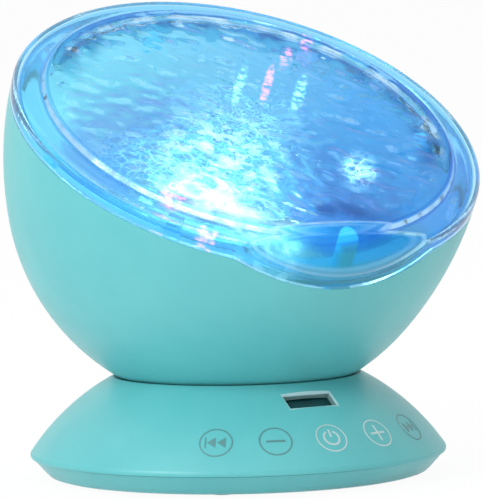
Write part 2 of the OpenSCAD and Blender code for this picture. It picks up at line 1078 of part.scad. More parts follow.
// White dish that throws the light up; its deck carries the lamps and the wave drive.
module reflector_dish() {
    color(pale)
        in_head()
            difference() {
                union() {
                    rotate_extrude()
                        difference() {
                            intersection() {
                                circle(r = dish_r + dish_wall);
                                translate([0, deck_h - deck_t])
                                    square([far, flange_h - deck_h + deck_t]);
                            }
                            intersection() {
                                circle(r = dish_r);
                                translate([0, deck_h])
                                    square([far, far]);
                            }
                        }
                    translate([0, 0, flange_h - flange_t])
                        ring(flange_r, 60.2, flange_t);
                    translate([0, 0, deck_h - 1])
                        cylinder(r = 2.8, h = 5.2);
                    difference() {
                        translate([peg[0], peg[1], flange_h - 0.5])
                            cylinder(r = peg_r, h = 14);
                        scoop_tool(cover_wall + 0.3);
                    }
                }
                for (a = hook_angles)
                    rotate([0, 0, a])
                        translate([hook_r - 0.2, -hook_w / 2 - 0.3, 0])
                            cube([10, hook_w + 0.6, far]);
                for (a = dish_boss_angles)
                    on_ring(dish_boss_r, a)
                        cylinder(r = 1.6, h = 20, $fn = 32);
                translate([0, 0, -40])
                    cylinder(r = axle_r + 0.02, h = 30);
                translate([0, motor_y, -40])
                    cylinder(r = 3.6, h = 20);
                for (s = [-1, 1])
                    translate([s * 7.6, motor_y, -40])
                        cylinder(r = 1.2, h = 20, $fn = 32);
                translate([cable_x, 0, -40])
                    cylinder(r = cable_r + 0.4, h = 20);
                for (a = [30, 150, 270])
                    on_ring(30.5, a)
                        translate([0, 0, -40])
                            cylinder(r = 0.9, h = 20, $fn = 32);
            }
}

module dish_screws() {
    color(steel)
        in_head()
            for (a = dish_boss_angles)
                on_ring(dish_boss_r, a)
                    translate([0, 0, flange_h + play])
                        screw(2.5, 1.6, 1.05, 9);
}

// Round plate with the openings that the lamp board and the heat spreader share.
module deck_plate(r, z, t) {
    difference() {
        translate([0, 0, z])
            cylinder(r = r, h = t);
        translate([0, 0, -40])
            cylinder(r = 3, h = 30);
        translate([0, motor_y, -40])
            cylinder(r = 4, h = 30);
        translate([cable_x, 0, -40])
            cylinder(r = cable_r + 0.4, h = 30);
        for (s = [-1, 1])
            translate([s * 7.6, motor_y, -40])
                cylinder(r = 2.3, h = 30);
        for (a = [30, 150, 270])
            on_ring(30.5, a)
                translate([0, 0, -40])
                    cylinder(r = 1.1, h = 30, $fn = 32);
    }
}

module heat_spreader() {
    color(steel)
        in_head()
            deck_plate(34, deck_h + play, 0.9);
}

module led_board() {
    color(board_white)
        in_head()
            deck_plate(33, deck_h + 1, 1.2);
}

// Lamps skip the place of the motor's pinion.
module leds() {
    color([1, 0.95, 0.7])
        in_head()
            for (i = [0:lamp_count - 1])
                on_ring(lamp_ring_r, (i + 0.5) * 360 / lamp_count)
                    translate([-1.5, -1.5, board_top_h + play])
                        cube([3, 3, 1.2]);
}

module led_board_screws() {
    color(steel)
        in_head()
            for (a = [30, 150, 270])
                on_ring(30.5, a)
                    translate([0, 0, board_top_h + play])
                        screw(1.7, 1, 0.85, 4);
}

module gearbox_case() {
    color(pale)
        in_head()
            translate([0, motor_y, 0])
                difference() {
                    union() {
                        translate([0, 0, gearbox_bottom])
                            cylinder(r = gearbox_r, h = deck_h - deck_t - play - gearbox_bottom);
                        translate([0, 0, gearbox_bottom + 1])
                            cylinder(r = 3.4, h = -gearbox_bottom - 1 + deck_h + 0.6);
                    }
                    translate([0, 0, gearbox_bottom - 1])
                        cylinder(r = shaft_r + play, h = 20);
                    for (s = [-1, 1])
                        translate([s * 7.6, 0, -34])
                            cylinder(r = 0.9, h = 20, $fn = 32);
                }
}

module motor_can() {
    color(steel)
        in_head()
            translate([0, motor_y, motor_bottom])
                difference() {
                    union() {
                        cylinder(r = 8.5, h = gearbox_bottom - play - motor_bottom);
                        translate([0, 0, -1.2])
                            cylinder(r = 2.5, h = 2);
                    }
                    translate([0, 0, 4])
                        cylinder(r = shaft_r + play, h = 20);
                }
}

module motor_screws() {
    color(steel)
        in_head()
            for (s = [-1, 1])
                translate([s * 7.6, motor_y, deck_h + play])
                    screw(1.8, 1.2, 0.85, 7);
}

module rotor_axle() {
    color(steel)
        in_head()
            translate([0, 0, deck_h - deck_t])
                cylinder(r = axle_r, h = hub_top_h + 1.8 - deck_h + deck_t);
}

module rotor_washer() {
    color(pale)
        in_head()
            translate([0, 0, gear_h - 1])
                ring(3.4, axle_r + 0.1, 0.8);
}

module axle_clip() {
    color(steel)
        in_head()
            translate([0, 0, hub_top_h + 0.3])
                difference() {
                    cylinder(r = 3.4, h = 0.7);
                    translate([0, 0, -1])
                        cylinder(r = axle_r + 0.03, h = 3);
                    translate([-0.8, 0, -1])
                        cube([1.6, 10, 3]);
                }
}

// Wiring of the lamps and motor, down through the deck.
module lamp_cable() {
    low = deck_h - 12;
    color([0.25, 0.25, 0.28])
        in_head()
            translate([cable_x, 0, low])
                cylinder(r = cable_r, h = board_top_h - low);
}

// ---- Wave drive: turns about the head's axis ----

module ripple_rotor() {
    color(clear_blue)
        in_head()
            difference() {
                union() {
                    translate([0, 0, rotor_h])
                        cylinder(r = rotor_r, h = rotor_t);
                    translate([0, 0, gear_h + gear_t + play])
                        cylinder(r = 5.5, h = hub_top_h - gear_h - gear_t - play);
                    translate([0, 0, gear_h])
                        cylinder(r = 3.5, h = gear_t + 1);
                }
                translate([0, 0, gear_h - 1])
                    cylinder(r = axle_r + play, h = 20);
            }
}

// The gear has a tooth where the pinion has a gap.
module rotor_gear() {
    color(pale)
        in_head()
            translate([0, 0, gear_h])
                difference() {
                    rotate([0, 0, 90])
                        linear_extrude(height = gear_t)
                            gear_outline(gear_teeth);
                    translate([0, 0, -1])
                        cylinder(r = 3.5 + play, h = gear_t + 2);
                    for (a = [0:60:300])
                        on_ring(10.5, a + 30)
                            translate([0, 0, -1])
                                cylinder(r = 3.4, h = gear_t + 2);
                }
}

module motor_pinion() {
    color(brass)
        in_head()
            translate([0, motor_y, gear_h - 0.5])
                difference() {
                    rotate([0, 0, 270 - 180 / pinion_teeth])
                        linear_extrude(height = gear_t + 1)
                            gear_outline(pinion_teeth);
                    translate([0, 0, -1])
                        cylinder(r = shaft_r + 0.01, h = gear_t + 3);
                }
}

module motor_shaft() {
    color(steel)
        in_head()
            translate([0, motor_y, motor_bottom + 5])
                cylinder(r = shaft_r, h = gear_h + gear_t + 1 - motor_bottom - 5);
}

// ---- Everything is drawn here ----

base_shell();
base_pan();
rubber_feet();
base_screws();
window_lens();
sensor_board();
ir_receiver();
touch_flex();
touch_pads();
key_prints();
main_board();
board_parts();
board_screws();
jack_board();
power_jack();
audio_jack();
speaker_gasket();
speaker_frame();
speaker_cone();
speaker_magnet();
speaker_screws();
friction_ring();
pivot_post();
saddle();
disc_springs();
clamp_washer();
clamp_nut();
post_cable();
bowl();
clear_cover();
reflector_dish();
dish_screws();
heat_spreader();
led_board();
leds();
led_board_screws();
gearbox_case();
motor_can();
motor_screws();
rotor_axle();
rotor_washer();
axle_clip();
lamp_cable();
ripple_rotor();
rotor_gear();
motor_pinion();
motor_shaft();
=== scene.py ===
# %% [markdown]
# # Wave projector night light
# A turquoise bowl with a clear rippled cover leans in the collar of a conical base. Lamps in the bowl
# shine up through a slowly turning rippled disc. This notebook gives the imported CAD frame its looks.

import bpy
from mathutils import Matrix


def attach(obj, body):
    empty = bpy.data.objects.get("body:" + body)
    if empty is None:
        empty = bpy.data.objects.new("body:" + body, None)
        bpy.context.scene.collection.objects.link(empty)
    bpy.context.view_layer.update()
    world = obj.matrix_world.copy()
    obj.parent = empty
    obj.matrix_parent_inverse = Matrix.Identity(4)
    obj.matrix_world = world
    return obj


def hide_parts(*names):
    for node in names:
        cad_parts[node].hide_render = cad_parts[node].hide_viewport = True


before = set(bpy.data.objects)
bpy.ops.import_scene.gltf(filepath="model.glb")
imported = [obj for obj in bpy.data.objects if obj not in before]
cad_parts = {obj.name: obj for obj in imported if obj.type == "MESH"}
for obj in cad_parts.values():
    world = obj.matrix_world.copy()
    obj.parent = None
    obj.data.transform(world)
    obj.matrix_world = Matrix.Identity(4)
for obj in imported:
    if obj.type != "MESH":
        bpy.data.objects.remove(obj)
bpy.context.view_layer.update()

# %% Tools
import math

import bmesh
import bpy
from mathutils import Matrix, Vector, noise

MM = 0.001
scene = bpy.context.scene

# %% [markdown]
# ## Camera
# A long lens from some distance keeps the rings of the bowl and base close to true ellipses. The
# camera's axes are written as three directions, which fixes its roll as well as its aim.

# %% Camera
CAMERA_AT = Vector((-0.742669, -1.341231, 0.187610))
CAMERA_RIGHT = Vector((0.8732808, -0.4868444, -0.0190571))
CAMERA_UP = Vector((0.0533786, 0.05672306, 0.99696199))
CAMERA_BACK = Vector((-0.48428439, -0.87164501, 0.07552224))

camera_data = bpy.data.cameras.new("camera")
camera_data.lens = 349.53
camera_data.sensor_width = 36
camera_data.clip_start = 0.05
camera_data.clip_end = 60
camera = bpy.data.objects.new("camera", camera_data)
axes = Matrix((CAMERA_RIGHT, CAMERA_UP, CAMERA_BACK)).transposed().to_4x4()
camera.matrix_world = Matrix.Translation(CAMERA_AT) @ axes
scene.collection.objects.link(camera)
scene.camera = camera
print("camera stands", round(CAMERA_AT.length, 3), "m from the origin")

# %% [markdown]
# ## Node helpers
# A material is a small graph. These helpers keep each graph short: they add a node with its values,
# join it to others, and start or place a node group. A group is an effect with named inputs and
# outputs, laid out on the coordinates that it is given, and many materials can use it.


# %% Node helpers
def add_node(tree, kind, values=None, **settings):
    """Add a node with its settings and with values on its inputs."""
    node = tree.nodes.new("ShaderNode" + kind)
    for name, value in settings.items():
        setattr(node, name, value)
    for name, value in (values or {}).items():
        node.inputs[name].default_value = value
    return node


def join(tree, source, target):
    tree.links.new(source, target)


def fed_node(tree, kind, sources, values=None, **settings):
    """Add a node, join some of its inputs to other nodes, and return its outputs."""
    node = add_node(tree, kind, values, **settings)
    for name, source in sources.items():
        join(tree, source, node.inputs[name])
    return node.outputs


def start_group(name, inputs, outputs):
    """Begin a group that is laid out on coordinates. Each input is a name, a kind and a value."""
    tree = bpy.data.node_groups.new(name, "ShaderNodeTree")
    for label, kind, value in [("Vector", "Vector", (0, 0, 0)), *inputs]:
        socket = tree.interface.new_socket(name=label, in_out="INPUT", socket_type="NodeSocket" + kind)
        socket.default_value = value
    for label, kind in outputs:
        tree.interface.new_socket(name=label, in_out="OUTPUT", socket_type="NodeSocket" + kind)
    print("effect:", name)
    return tree, tree.nodes.new("NodeGroupInput").outputs, tree.nodes.new("NodeGroupOutput").inputs


def place_group(tree, group, place, values=None):
    """Put a group in a tree, laid out on the given coordinates, and return its outputs."""
    node = tree.nodes.new("ShaderNodeGroup")
    node.node_tree = group
    for name, value in (values or {}).items():
        node.inputs[name].default_value = value
    join(tree, place, node.inputs["Vector"])
    return node.outputs


# %% [markdown]
# Most graphs then need the same few sums: a product, one range mapped to another, and a blend of two
# colours. Written out, each takes four or five lines, so they are functions too.


# %% Sums and blends
def math_node(tree, operation, a, b):
    node = add_node(tree, "Math", operation=operation)
    for socket, value in zip(node.inputs, (a, b)):
        if isinstance(value, (int, float)):
            socket.default_value = value
        else:
            join(tree, value, socket)
    return node.outputs[0]


def times(tree, a, b):
    return math_node(tree, "MULTIPLY", a, b)


def spread(tree, value, low, high, to_low=0.0, to_high=1.0, smooth=False):
    """Map one range of a value to another, straight or with soft ends."""
    kind = "SMOOTHSTEP" if smooth else "LINEAR"
    ends = {1: low, 2: high, 3: to_low, 4: to_high}
    return fed_node(tree, "MapRange", {0: value}, ends, interpolation_type=kind)[0]


def blend_colour(tree, factor, a, b):
    node = add_node(tree, "Mix", data_type="RGBA")
    for index, value in ((0, factor), (6, a), (7, b)):
        if isinstance(value, (int, float, tuple)):
            node.inputs[index].default_value = value
        else:
            join(tree, value, node.inputs[index])
    return node.outputs[2]


# %% [markdown]
# ## Shared effects
# Moulded plastic is never quite even. Its skin has a fine grain from the mould, its colour drifts a
# little over a few centimetres, and fingers leave it slightly glossier in places. Each effect is a
# group, so that plastic, rubber and metal can all use it at their own scale.


# %% Fine grain of a moulded skin
def make_grain_group():
    tree, given, out = start_group(
        "moulded grain", [("Grain", "Float", 2400.0), ("Waviness", "Float", 0.4)], [("Height", "Float")]
    )
    sources = {"Vector": given["Vector"], "Scale": given["Grain"]}
    fine = fed_node(tree, "TexNoise", sources, {"Detail": 2.0, "Roughness": 0.6})
    broad = fed_node(tree, "TexNoise", {"Vector": given["Vector"]}, {"Scale": 70.0, "Detail": 1.0})
    wave = times(tree, broad["Fac"], given["Waviness"])
    join(tree, math_node(tree, "ADD", fine["Fac"], wave), out["Height"])
    return tree


GRAIN = make_grain_group()


# %% Slow drift of a colour
def make_drift_group():
    first, second = (0.5, 0.5, 0.5, 1), (0.4, 0.4, 0.4, 1)
    tree, given, out = start_group(
        "colour drift",
        [("Size", "Float", 30.0), ("First", "Color", first), ("Second", "Color", second)],
        [("Colour", "Color")],
    )
    sources = {"Vector": given["Vector"], "Scale": given["Size"]}
    cloud = fed_node(tree, "TexNoise", sources, {"Detail": 3.0, "Roughness": 0.55})
    amount = spread(tree, cloud["Fac"], 0.3, 0.7, smooth=True)
    join(tree, blend_colour(tree, amount, given["First"], given["Second"]), out["Colour"])
    return tree


DRIFT = make_drift_group()


# %% Gloss left by handling
def make_handling_group():
    tree, given, out = start_group(
        "handling marks",
        [("Size", "Float", 45.0), ("Glossy", "Float", 0.3), ("Dull", "Float", 0.4)],
        [("Roughness", "Float")],
    )
    sources = {"Vector": given["Vector"], "Scale": given["Size"]}
    smear = fed_node(tree, "TexNoise", sources, {"Detail": 4.0, "Roughness": 0.65, "Distortion": 0.6})
    sources = {0: smear["Fac"], 3: given["Glossy"], 4: given["Dull"]}
    join(tree, fed_node(tree, "MapRange", sources, {1: 0.3, 2: 0.7})[0], out["Roughness"])
    return tree


HANDLING = make_handling_group()

# %% [markdown]
# Turned, rolled or drawn metal keeps fine parallel lines. A noise that is pressed together along one
# axis gives them without an image, and follows a part at any size.


# %% Fine lines left by turning, rolling or drawing
def make_lines_group():
    tree, given, out = start_group(
        "tool lines", [("Stretch", "Vector", (300, 300, 6000))], [("Height", "Float")]
    )
    sources = {0: given["Vector"], 1: given["Stretch"]}
    stretched = fed_node(tree, "VectorMath", sources, operation="MULTIPLY")
    values = {"Scale": 1.0, "Detail": 4.0, "Roughness": 0.7}
    streak = fed_node(tree, "TexNoise", {"Vector": stretched[0]}, values)
    join(tree, streak["Fac"], out["Height"])
    return tree


LINES = make_lines_group()

# %% [markdown]
# Some nodes hold parts of several materials. A mask that is 1 inside a box lets one material tell them
# apart by their place, and the mesh needn't be cut.


# %% Mask of a box
def make_box_group():
    tree, given, out = start_group(
        "box mask", [("Low", "Vector", (0, 0, 0)), ("High", "Vector", (1, 1, 1))], [("Mask", "Float")]
    )
    above = fed_node(tree, "VectorMath", {0: given["Vector"], 1: given["Low"]}, operation="SUBTRACT")
    below = fed_node(tree, "VectorMath", {0: given["High"], 1: given["Vector"]}, operation="SUBTRACT")
    room = fed_node(tree, "VectorMath", {0: above[0], 1: below[0]}, operation="MINIMUM")
    parts = fed_node(tree, "SeparateXYZ", {0: room[0]})
    least = math_node(tree, "MINIMUM", parts[0], parts[1])
    least = math_node(tree, "MINIMUM", least, parts[2])
    join(tree, math_node(tree, "GREATER_THAN", least, 0.0), out["Mask"])
    return tree


BOX = make_box_group()

# %% [markdown]
# Light that has passed a rippled sheet gathers in bright threads, as on the floor of a pool. Warped
# Voronoi cells give that pattern: near the border between two cells it is bright, and the warp
# bends the borders so that they don't look like a honeycomb.


# %% Threads of gathered light
def make_threads_group():
    tree, given, out = start_group(
        "water light",
        [("Size", "Float", 120.0), ("Width", "Float", 0.16)],
        [("Threads", "Float"), ("Patches", "Float")],
    )
    warp = fed_node(tree, "TexNoise", {"Vector": given["Vector"]}, {"Scale": 90.0, "Detail": 2.0})
    shift = fed_node(tree, "VectorMath", {0: warp["Color"]}, {1: (0.5, 0.5, 0.5)}, operation="SUBTRACT")
    small = fed_node(tree, "VectorMath", {0: shift[0]}, {"Scale": 0.012}, operation="SCALE")
    bent = fed_node(tree, "VectorMath", {0: given["Vector"], 1: small[0]}, operation="ADD")
    sources = {"Vector": bent[0], "Scale": given["Size"]}
    cells = fed_node(tree, "TexVoronoi", sources, feature="DISTANCE_TO_EDGE")
    line = fed_node(
        tree, "MapRange", {0: cells["Distance"], 2: given["Width"]}, {1: 0.0, 3: 1.0, 4: 0.0},
        interpolation_type="SMOOTHSTEP",
    )
    join(tree, line[0], out["Threads"])
    cloud = fed_node(tree, "TexNoise", sources, {"Detail": 3.0, "Roughness": 0.6})
    join(tree, cloud["Fac"], out["Patches"])
    return tree


THREADS = make_threads_group()

# %% [markdown]
# Light falls on the cover in patches with soft edges. A patch is the distance from its middle, divided
# on each axis by its reach. Where a rough ripple throws the light it breaks into specks, which are a
# noise that is cut off between two levels.


# %% Patch of light with a soft edge
def make_patch_group():
    centre, reach = (0, 0, 0), (0.01, 0.01, 0.01)
    tree, given, out = start_group(
        "light patch",
        [("Centre", "Vector", centre), ("Reach", "Vector", reach), ("Core", "Float", 0.2)],
        [("Mask", "Float")],
    )
    offset = fed_node(tree, "VectorMath", {0: given["Vector"], 1: given["Centre"]}, operation="SUBTRACT")
    shares = fed_node(tree, "VectorMath", {0: offset[0], 1: given["Reach"]}, operation="DIVIDE")
    length = fed_node(tree, "VectorMath", {0: shares[0]}, operation="LENGTH")
    mask = fed_node(
        tree, "MapRange", {0: length["Value"], 1: given["Core"]}, {2: 1.0, 3: 1.0, 4: 0.0},
        interpolation_type="SMOOTHSTEP",
    )
    join(tree, mask[0], out["Mask"])
    return tree


PATCH = make_patch_group()


# %% Specks of light
def make_specks_group():
    tree, given, out = start_group(
        "light specks",
        [("Size", "Float", 200.0), ("Low", "Float", 0.5), ("High", "Float", 0.6)],
        [("Mask", "Float")],
    )
    cloud = fed_node(tree, "TexNoise", {"Vector": given["Vector"], "Scale": given["Size"]}, {"Detail": 1.0})
    mask = fed_node(
        tree, "MapRange", {0: cloud["Fac"], 1: given["Low"], 2: given["High"]}, {3: 0.0, 4: 1.0},
        interpolation_type="SMOOTHSTEP",
    )
    join(tree, mask[0], out["Mask"])
    return tree


SPECKS = make_specks_group()

# %% [markdown]
# ## Materials of the solid parts
# Most parts are one of a few kinds: moulded plastic or rubber, metal, circuit board. One function
# makes each kind. It takes two close colours, which drift into each other, and a range of gloss.


# %% Start of a material
def surface_of(material):
    """The inputs of a material's shader."""
    return material.node_tree.nodes["Principled BSDF"].inputs


def start_material(name):
    material = bpy.data.materials.new(name)
    material.use_nodes = True
    tree = material.node_tree
    print("material:", name)
    return material, tree, surface_of(material), add_node(tree, "TexCoord").outputs["Object"]


def dress(tree, surface, colour, roughness, height, depth):
    """Join a colour and a roughness, and raise the skin by a height, of which 1 is depth mm."""
    join(tree, colour, surface["Base Color"])
    join(tree, roughness, surface["Roughness"])
    bump = fed_node(tree, "Bump", {"Height": height}, {"Strength": 1.0, "Distance": depth * MM})
    join(tree, bump["Normal"], surface["Normal"])


# %% [markdown]
# Colours are written here as the levels that a screen shows, because those can be compared by eye.
# Blender's sockets want linear values, so one function works them out.


# %% Colours as a screen shows them
def rgb(red, green, blue):
    """A colour from the levels that a screen shows, 0 to 255."""
    def linear(level):
        level /= 255
        return level / 12.92 if level <= 0.04045 else ((level + 0.055) / 1.055) ** 2.4

    return (linear(red), linear(green), linear(blue), 1.0)


# %% Moulded plastic and rubber
def moulded(name, first, second, gloss=(0.3, 0.4), grain=2400.0, depth=0.05):
    material, tree, surface, place = start_material(name)
    drift = place_group(tree, DRIFT, place, {"First": first, "Second": second})
    marks = place_group(tree, HANDLING, place, {"Glossy": gloss[0], "Dull": gloss[1]})
    skin = place_group(tree, GRAIN, place, {"Grain": grain})
    dress(tree, surface, drift["Colour"], marks["Roughness"], skin["Height"], depth)
    return material


# %% Worked metal
def worked_metal(name, first, second, gloss=(0.22, 0.38)):
    material, tree, surface, place = start_material(name)
    surface["Metallic"].default_value = 1.0
    drift = place_group(tree, DRIFT, place, {"Size": 180.0, "First": first, "Second": second})
    marks = place_group(tree, HANDLING, place, {"Size": 260.0, "Glossy": gloss[0], "Dull": gloss[1]})
    lines = place_group(tree, LINES, place)
    dress(tree, surface, drift["Colour"], marks["Roughness"], lines["Height"], 0.01)
    return material


# %% Casing plastic
def casing(name):
    """Satin turquoise plastic of the outer shells."""
    return moulded(name, rgb(97, 188, 191), rgb(91, 183, 187), (0.34, 0.42), 3200.0, 0.02)


def lit_steel():
    """Steel of the dish's screws, which the lamps turn blue."""
    material = worked_metal("steel in blue light", rgb(84, 196, 226), rgb(60, 180, 220), (0.35, 0.5))
    surface_of(material)["Emission Color"].default_value = rgb(70, 190, 226)
    surface_of(material)["Emission Strength"].default_value = 0.6
    return material


turquoise = casing("turquoise ABS")
white_plastic = moulded("white plastic", rgb(232, 234, 236), rgb(222, 226, 229), (0.35, 0.5))
black_plastic = moulded("black plastic", rgb(38, 39, 42), rgb(30, 31, 34), (0.3, 0.5))
foot_rubber = moulded("pale rubber", rgb(214, 216, 220), rgb(200, 203, 208), (0.65, 0.8), 1500.0, 0.08)
dark_rubber = moulded("dark rubber", rgb(34, 34, 37), rgb(26, 26, 29), (0.7, 0.9), 1200.0, 0.1)
magnet_grey = moulded("ferrite", rgb(74, 74, 78), rgb(60, 60, 64), (0.45, 0.6), 1600.0, 0.08)
amber_film = moulded("amber film", rgb(196, 122, 46), rgb(178, 106, 36), (0.15, 0.25), 900.0, 0.02)
steel = worked_metal("zinc plated steel", rgb(196, 198, 203), rgb(180, 184, 190))
blue_steel = lit_steel()
brass = worked_metal("turned brass", rgb(214, 180, 104), rgb(196, 160, 86))
copper = worked_metal("etched copper", rgb(216, 150, 100), rgb(198, 128, 84), (0.3, 0.45))

# %% [markdown]
# The sides of the sensor's opening are painted pale grey, a painted highlight that is palest on the
# chamfer. Below the chamfer they are painted darker, as painted shade. The box mask picks those sides
# out of the shell.


# %% Coordinates
def local_place(tree, place, origin, turn):
    """Coordinates about an origin, in a frame that is turned there."""
    values = {"Location": origin, "Rotation": turn}
    return fed_node(tree, "Mapping", {"Vector": place}, values, vector_type="TEXTURE")[0]


def along(tree, place, axis):
    return fed_node(tree, "SeparateXYZ", {0: place})[axis]


# %% Casing with painted highlight and shade in the opening
WINDOW_AT = (0, -0.0466, 0.02805)
WINDOW_SLOPE = math.radians(34.45)
OPENING_BOX = {"Low": (-0.0088, -0.0038, -0.0026), "High": (0.0088, 0.0038, 0.001)}
CHAMFER_BOTTOM, CHAMFER_TOP = -0.0011, -0.0007


def shell_with_painted_opening_light():
    material = casing("turquoise shell")
    tree, surface = material.node_tree, surface_of(material)
    place = tree.nodes["Texture Coordinate"].outputs["Object"]
    opening = local_place(tree, place, WINDOW_AT, (WINDOW_SLOPE, 0, 0))
    painted_light_walls = place_group(tree, BOX, opening, OPENING_BOX)["Mask"]
    height = spread(tree, along(tree, opening, "Z"), CHAMFER_BOTTOM, CHAMFER_TOP)
    # Painted highlight on the chamfer, painted shade deeper in the opening.
    tone = blend_colour(tree, height, rgb(124, 158, 162), rgb(168, 208, 212))
    plain = surface["Base Color"].links[0].from_socket
    join(tree, blend_colour(tree, painted_light_walls, plain, tone), surface["Base Color"])
    return material


turquoise_shell = shell_with_painted_opening_light()

# %% [markdown]
# A circuit board shows its copper tracks as slightly paler, raised lines under the lacquer, and a
# few tinned pads. The joints of a brick texture give lines that run square to each other.

# %% Circuit boards
BLACK, WHITE = (0, 0, 0, 1), (1, 1, 1, 1)


def circuit_board(name, lacquer, track, size=420.0):
    material, tree, surface, place = start_material(name)
    bricks = {"Scale": size, "Mortar Size": 0.035, "Brick Width": 0.9, "Row Height": 0.32}
    bricks.update({"Color1": BLACK, "Color2": BLACK, "Mortar": WHITE})
    maze = fed_node(tree, "TexBrick", {"Vector": place}, bricks)["Color"]
    spots = fed_node(tree, "TexVoronoi", {"Vector": place}, {"Scale": 330.0, "Randomness": 0.4})
    pad = math_node(tree, "LESS_THAN", spots["Distance"], 0.14)
    colour = blend_colour(tree, maze, lacquer, track)
    colour = blend_colour(tree, pad, colour, rgb(205, 206, 200))
    height = math_node(tree, "ADD", maze, pad)
    dress(tree, surface, colour, spread(tree, pad, 0, 1, 0.32, 0.22), height, 0.03)
    return material


green_board = circuit_board("green circuit board", rgb(26, 104, 66), rgb(44, 136, 86))
lamp_board = circuit_board("white circuit board", rgb(228, 231, 230), rgb(206, 212, 210), 240.0)

# %% [markdown]
# The main board's parts are black chips, two blue capacitors, a steel crystal and two white sockets.
# They are one node, so boxes in space choose the colour: the box mask is 1 inside its two corners.

# %% Parts on the main board
CAPACITOR, CRYSTAL, SOCKET = rgb(46, 62, 128), rgb(190, 192, 196), rgb(226, 224, 214)
PART_BOXES = (
    ((12, -43, 0), (20, -36, 30), CAPACITOR),
    ((-17, -43, 0), (-11.5, -37, 30), CAPACITOR),
    ((1.5, -40.5, 0), (5.5, -32.5, 30), CRYSTAL),
    ((-12.5, -33.5, 0), (6, -23, 30), SOCKET),
)


def board_part_finish():
    material, tree, surface, place = start_material("board parts")
    chips = {"Size": 300.0, "First": rgb(34, 35, 38), "Second": rgb(24, 25, 28)}
    colour = place_group(tree, DRIFT, place, chips)["Colour"]
    for low, high, tint in PART_BOXES:
        corners = {"Low": [v * MM for v in low], "High": [v * MM for v in high]}
        colour = blend_colour(tree, place_group(tree, BOX, place, corners)["Mask"], colour, tint)
    marks = place_group(tree, HANDLING, place, {"Size": 400.0, "Glossy": 0.25, "Dull": 0.5})
    skin = place_group(tree, GRAIN, place, {"Grain": 4000.0})
    dress(tree, surface, colour, marks["Roughness"], skin["Height"], 0.03)
    return material


board_parts = board_part_finish()

# %% [markdown]
# ## Touch marks and window
# The marks are printed with a silver-grey ink. Its sheen is painted by place: the marks across the
# middle are painted pale and the others darker, as painted reflection. The print has a little grain
# of its own.


# %% Silver-grey ink
def between(tree, value, start, full, fall, end):
    """1 between two soft edges, and 0 outside them."""
    rise = spread(tree, value, start, full, smooth=True)
    return times(tree, rise, spread(tree, value, fall, end, 1.0, 0.0, smooth=True))


def ink_with_painted_sheen():
    material, tree, surface, place = start_material("silver-grey ink")
    surface["Metallic"].default_value = 0.35
    # Painted sheen: marks between these two places across are painted pale, the rest darker.
    pale = between(tree, along(tree, place, "X"), -0.012, -0.004, 0.026, 0.032)
    flakes = fed_node(tree, "TexNoise", {"Vector": place}, {"Scale": 5200.0, "Detail": 2.0})["Fac"]
    colour = blend_colour(tree, pale, rgb(86, 148, 150), rgb(196, 222, 222))
    speck = spread(tree, flakes, 0.35, 0.7, 0.0, 0.35)
    colour = blend_colour(tree, speck, colour, rgb(140, 130, 140))
    dress(tree, surface, colour, spread(tree, flakes, 0.3, 0.7, 0.3, 0.5), flakes, 0.01)
    return material


ink = ink_with_painted_sheen()

# %% [markdown]
# The window lets the remote control's infrared light in and hides the sensor. Clear glass over a dark
# box would show the sensor's parts. A dark colour that passes some light leaves only a hint of them.


# %% Smoked window
def window_finish():
    material, tree, surface, place = start_material("smoked window")
    tones = {"Size": 160.0, "First": rgb(30, 96, 100), "Second": rgb(22, 78, 84)}
    join(tree, place_group(tree, DRIFT, place, tones)["Colour"], surface["Base Color"])
    marks = place_group(tree, HANDLING, place, {"Size": 200.0, "Glossy": 0.06, "Dull": 0.14})
    join(tree, marks["Roughness"], surface["Roughness"])
    surface["Transmission Weight"].default_value = 0.45
    return material


smoked = window_finish()

# %% [markdown]
# ## Cable and speaker cone
# The wires run in a sleeve of braided thread: two sets of diagonal bands cross on its skin. The
# cone is treated paper with fibres pressed in all directions.


# %% Braided sleeve
def braid_finish():
    material, tree, surface, place = start_material("braided sleeve")
    bands = []
    for turn in (0.9, -0.9):
        turned = fed_node(tree, "Mapping", {"Vector": place}, {"Rotation": (turn, turn, 0)})
        wave = fed_node(tree, "TexWave", {"Vector": turned[0]}, {"Scale": 420.0, "Distortion": 0.4})
        bands.append(wave["Fac"])
    weave = math_node(tree, "MAXIMUM", *bands)
    colour = blend_colour(tree, weave, rgb(30, 31, 34), rgb(72, 74, 80))
    dress(tree, surface, colour, spread(tree, weave, 0, 1, 0.85, 0.6), weave, 0.15)
    return material


braid = braid_finish()


# %% Paper cone
def paper_finish():
    material, tree, surface, place = start_material("treated paper")
    values = {"Scale": 900.0, "Detail": 6.0, "Roughness": 0.8, "Distortion": 2.5}
    fibre = fed_node(tree, "TexNoise", {"Vector": place}, values)["Fac"]
    colour = blend_colour(tree, fibre, rgb(30, 30, 32), rgb(66, 65, 66))
    dress(tree, surface, colour, spread(tree, fibre, 0.3, 0.7, 0.75, 0.95), fibre, 0.15)
    return material


paper = paper_finish()

# %% [markdown]
# ## Light inside the bowl
# The lamps are the small squares on the white board. The dish round them takes their light and
# spreads it. The patterns here are laid out about the head's own axis, which leans 30 degrees to
# the front, so one Mapping node turns the head upright, and a second one turns its lit side.

# %% The head's own frame
HEAD_Z = 93.6
LEAN = math.radians(30)
LIT_TURN = math.radians(-34.03)
HEAD = Matrix.Translation((0, 0, HEAD_Z)) @ Matrix.Rotation(LEAN, 4, "X")
TO_METRES = Matrix.Scale(MM, 4)
FAR_MM = 1e6


def head_place(tree, place):
    """Coordinates in the head: X across the lit side, Y away from it, Z along the head's axis."""
    upright = local_place(tree, place, (0, 0, HEAD_Z * MM), (LEAN, 0, 0))
    return local_place(tree, upright, (0, 0, 0), (0, 0, LIT_TURN))


def patch(tree, inside, centre, reach, core=0.2):
    """A soft patch of light, in millimetres. Without a third value it goes all along the axis."""
    centre, reach = (*centre, 0)[:3], (*reach, FAR_MM)[:3]
    values = {"Centre": [v * MM for v in centre], "Reach": [v * MM for v in reach], "Core": core}
    return place_group(tree, PATCH, inside, values)["Mask"]


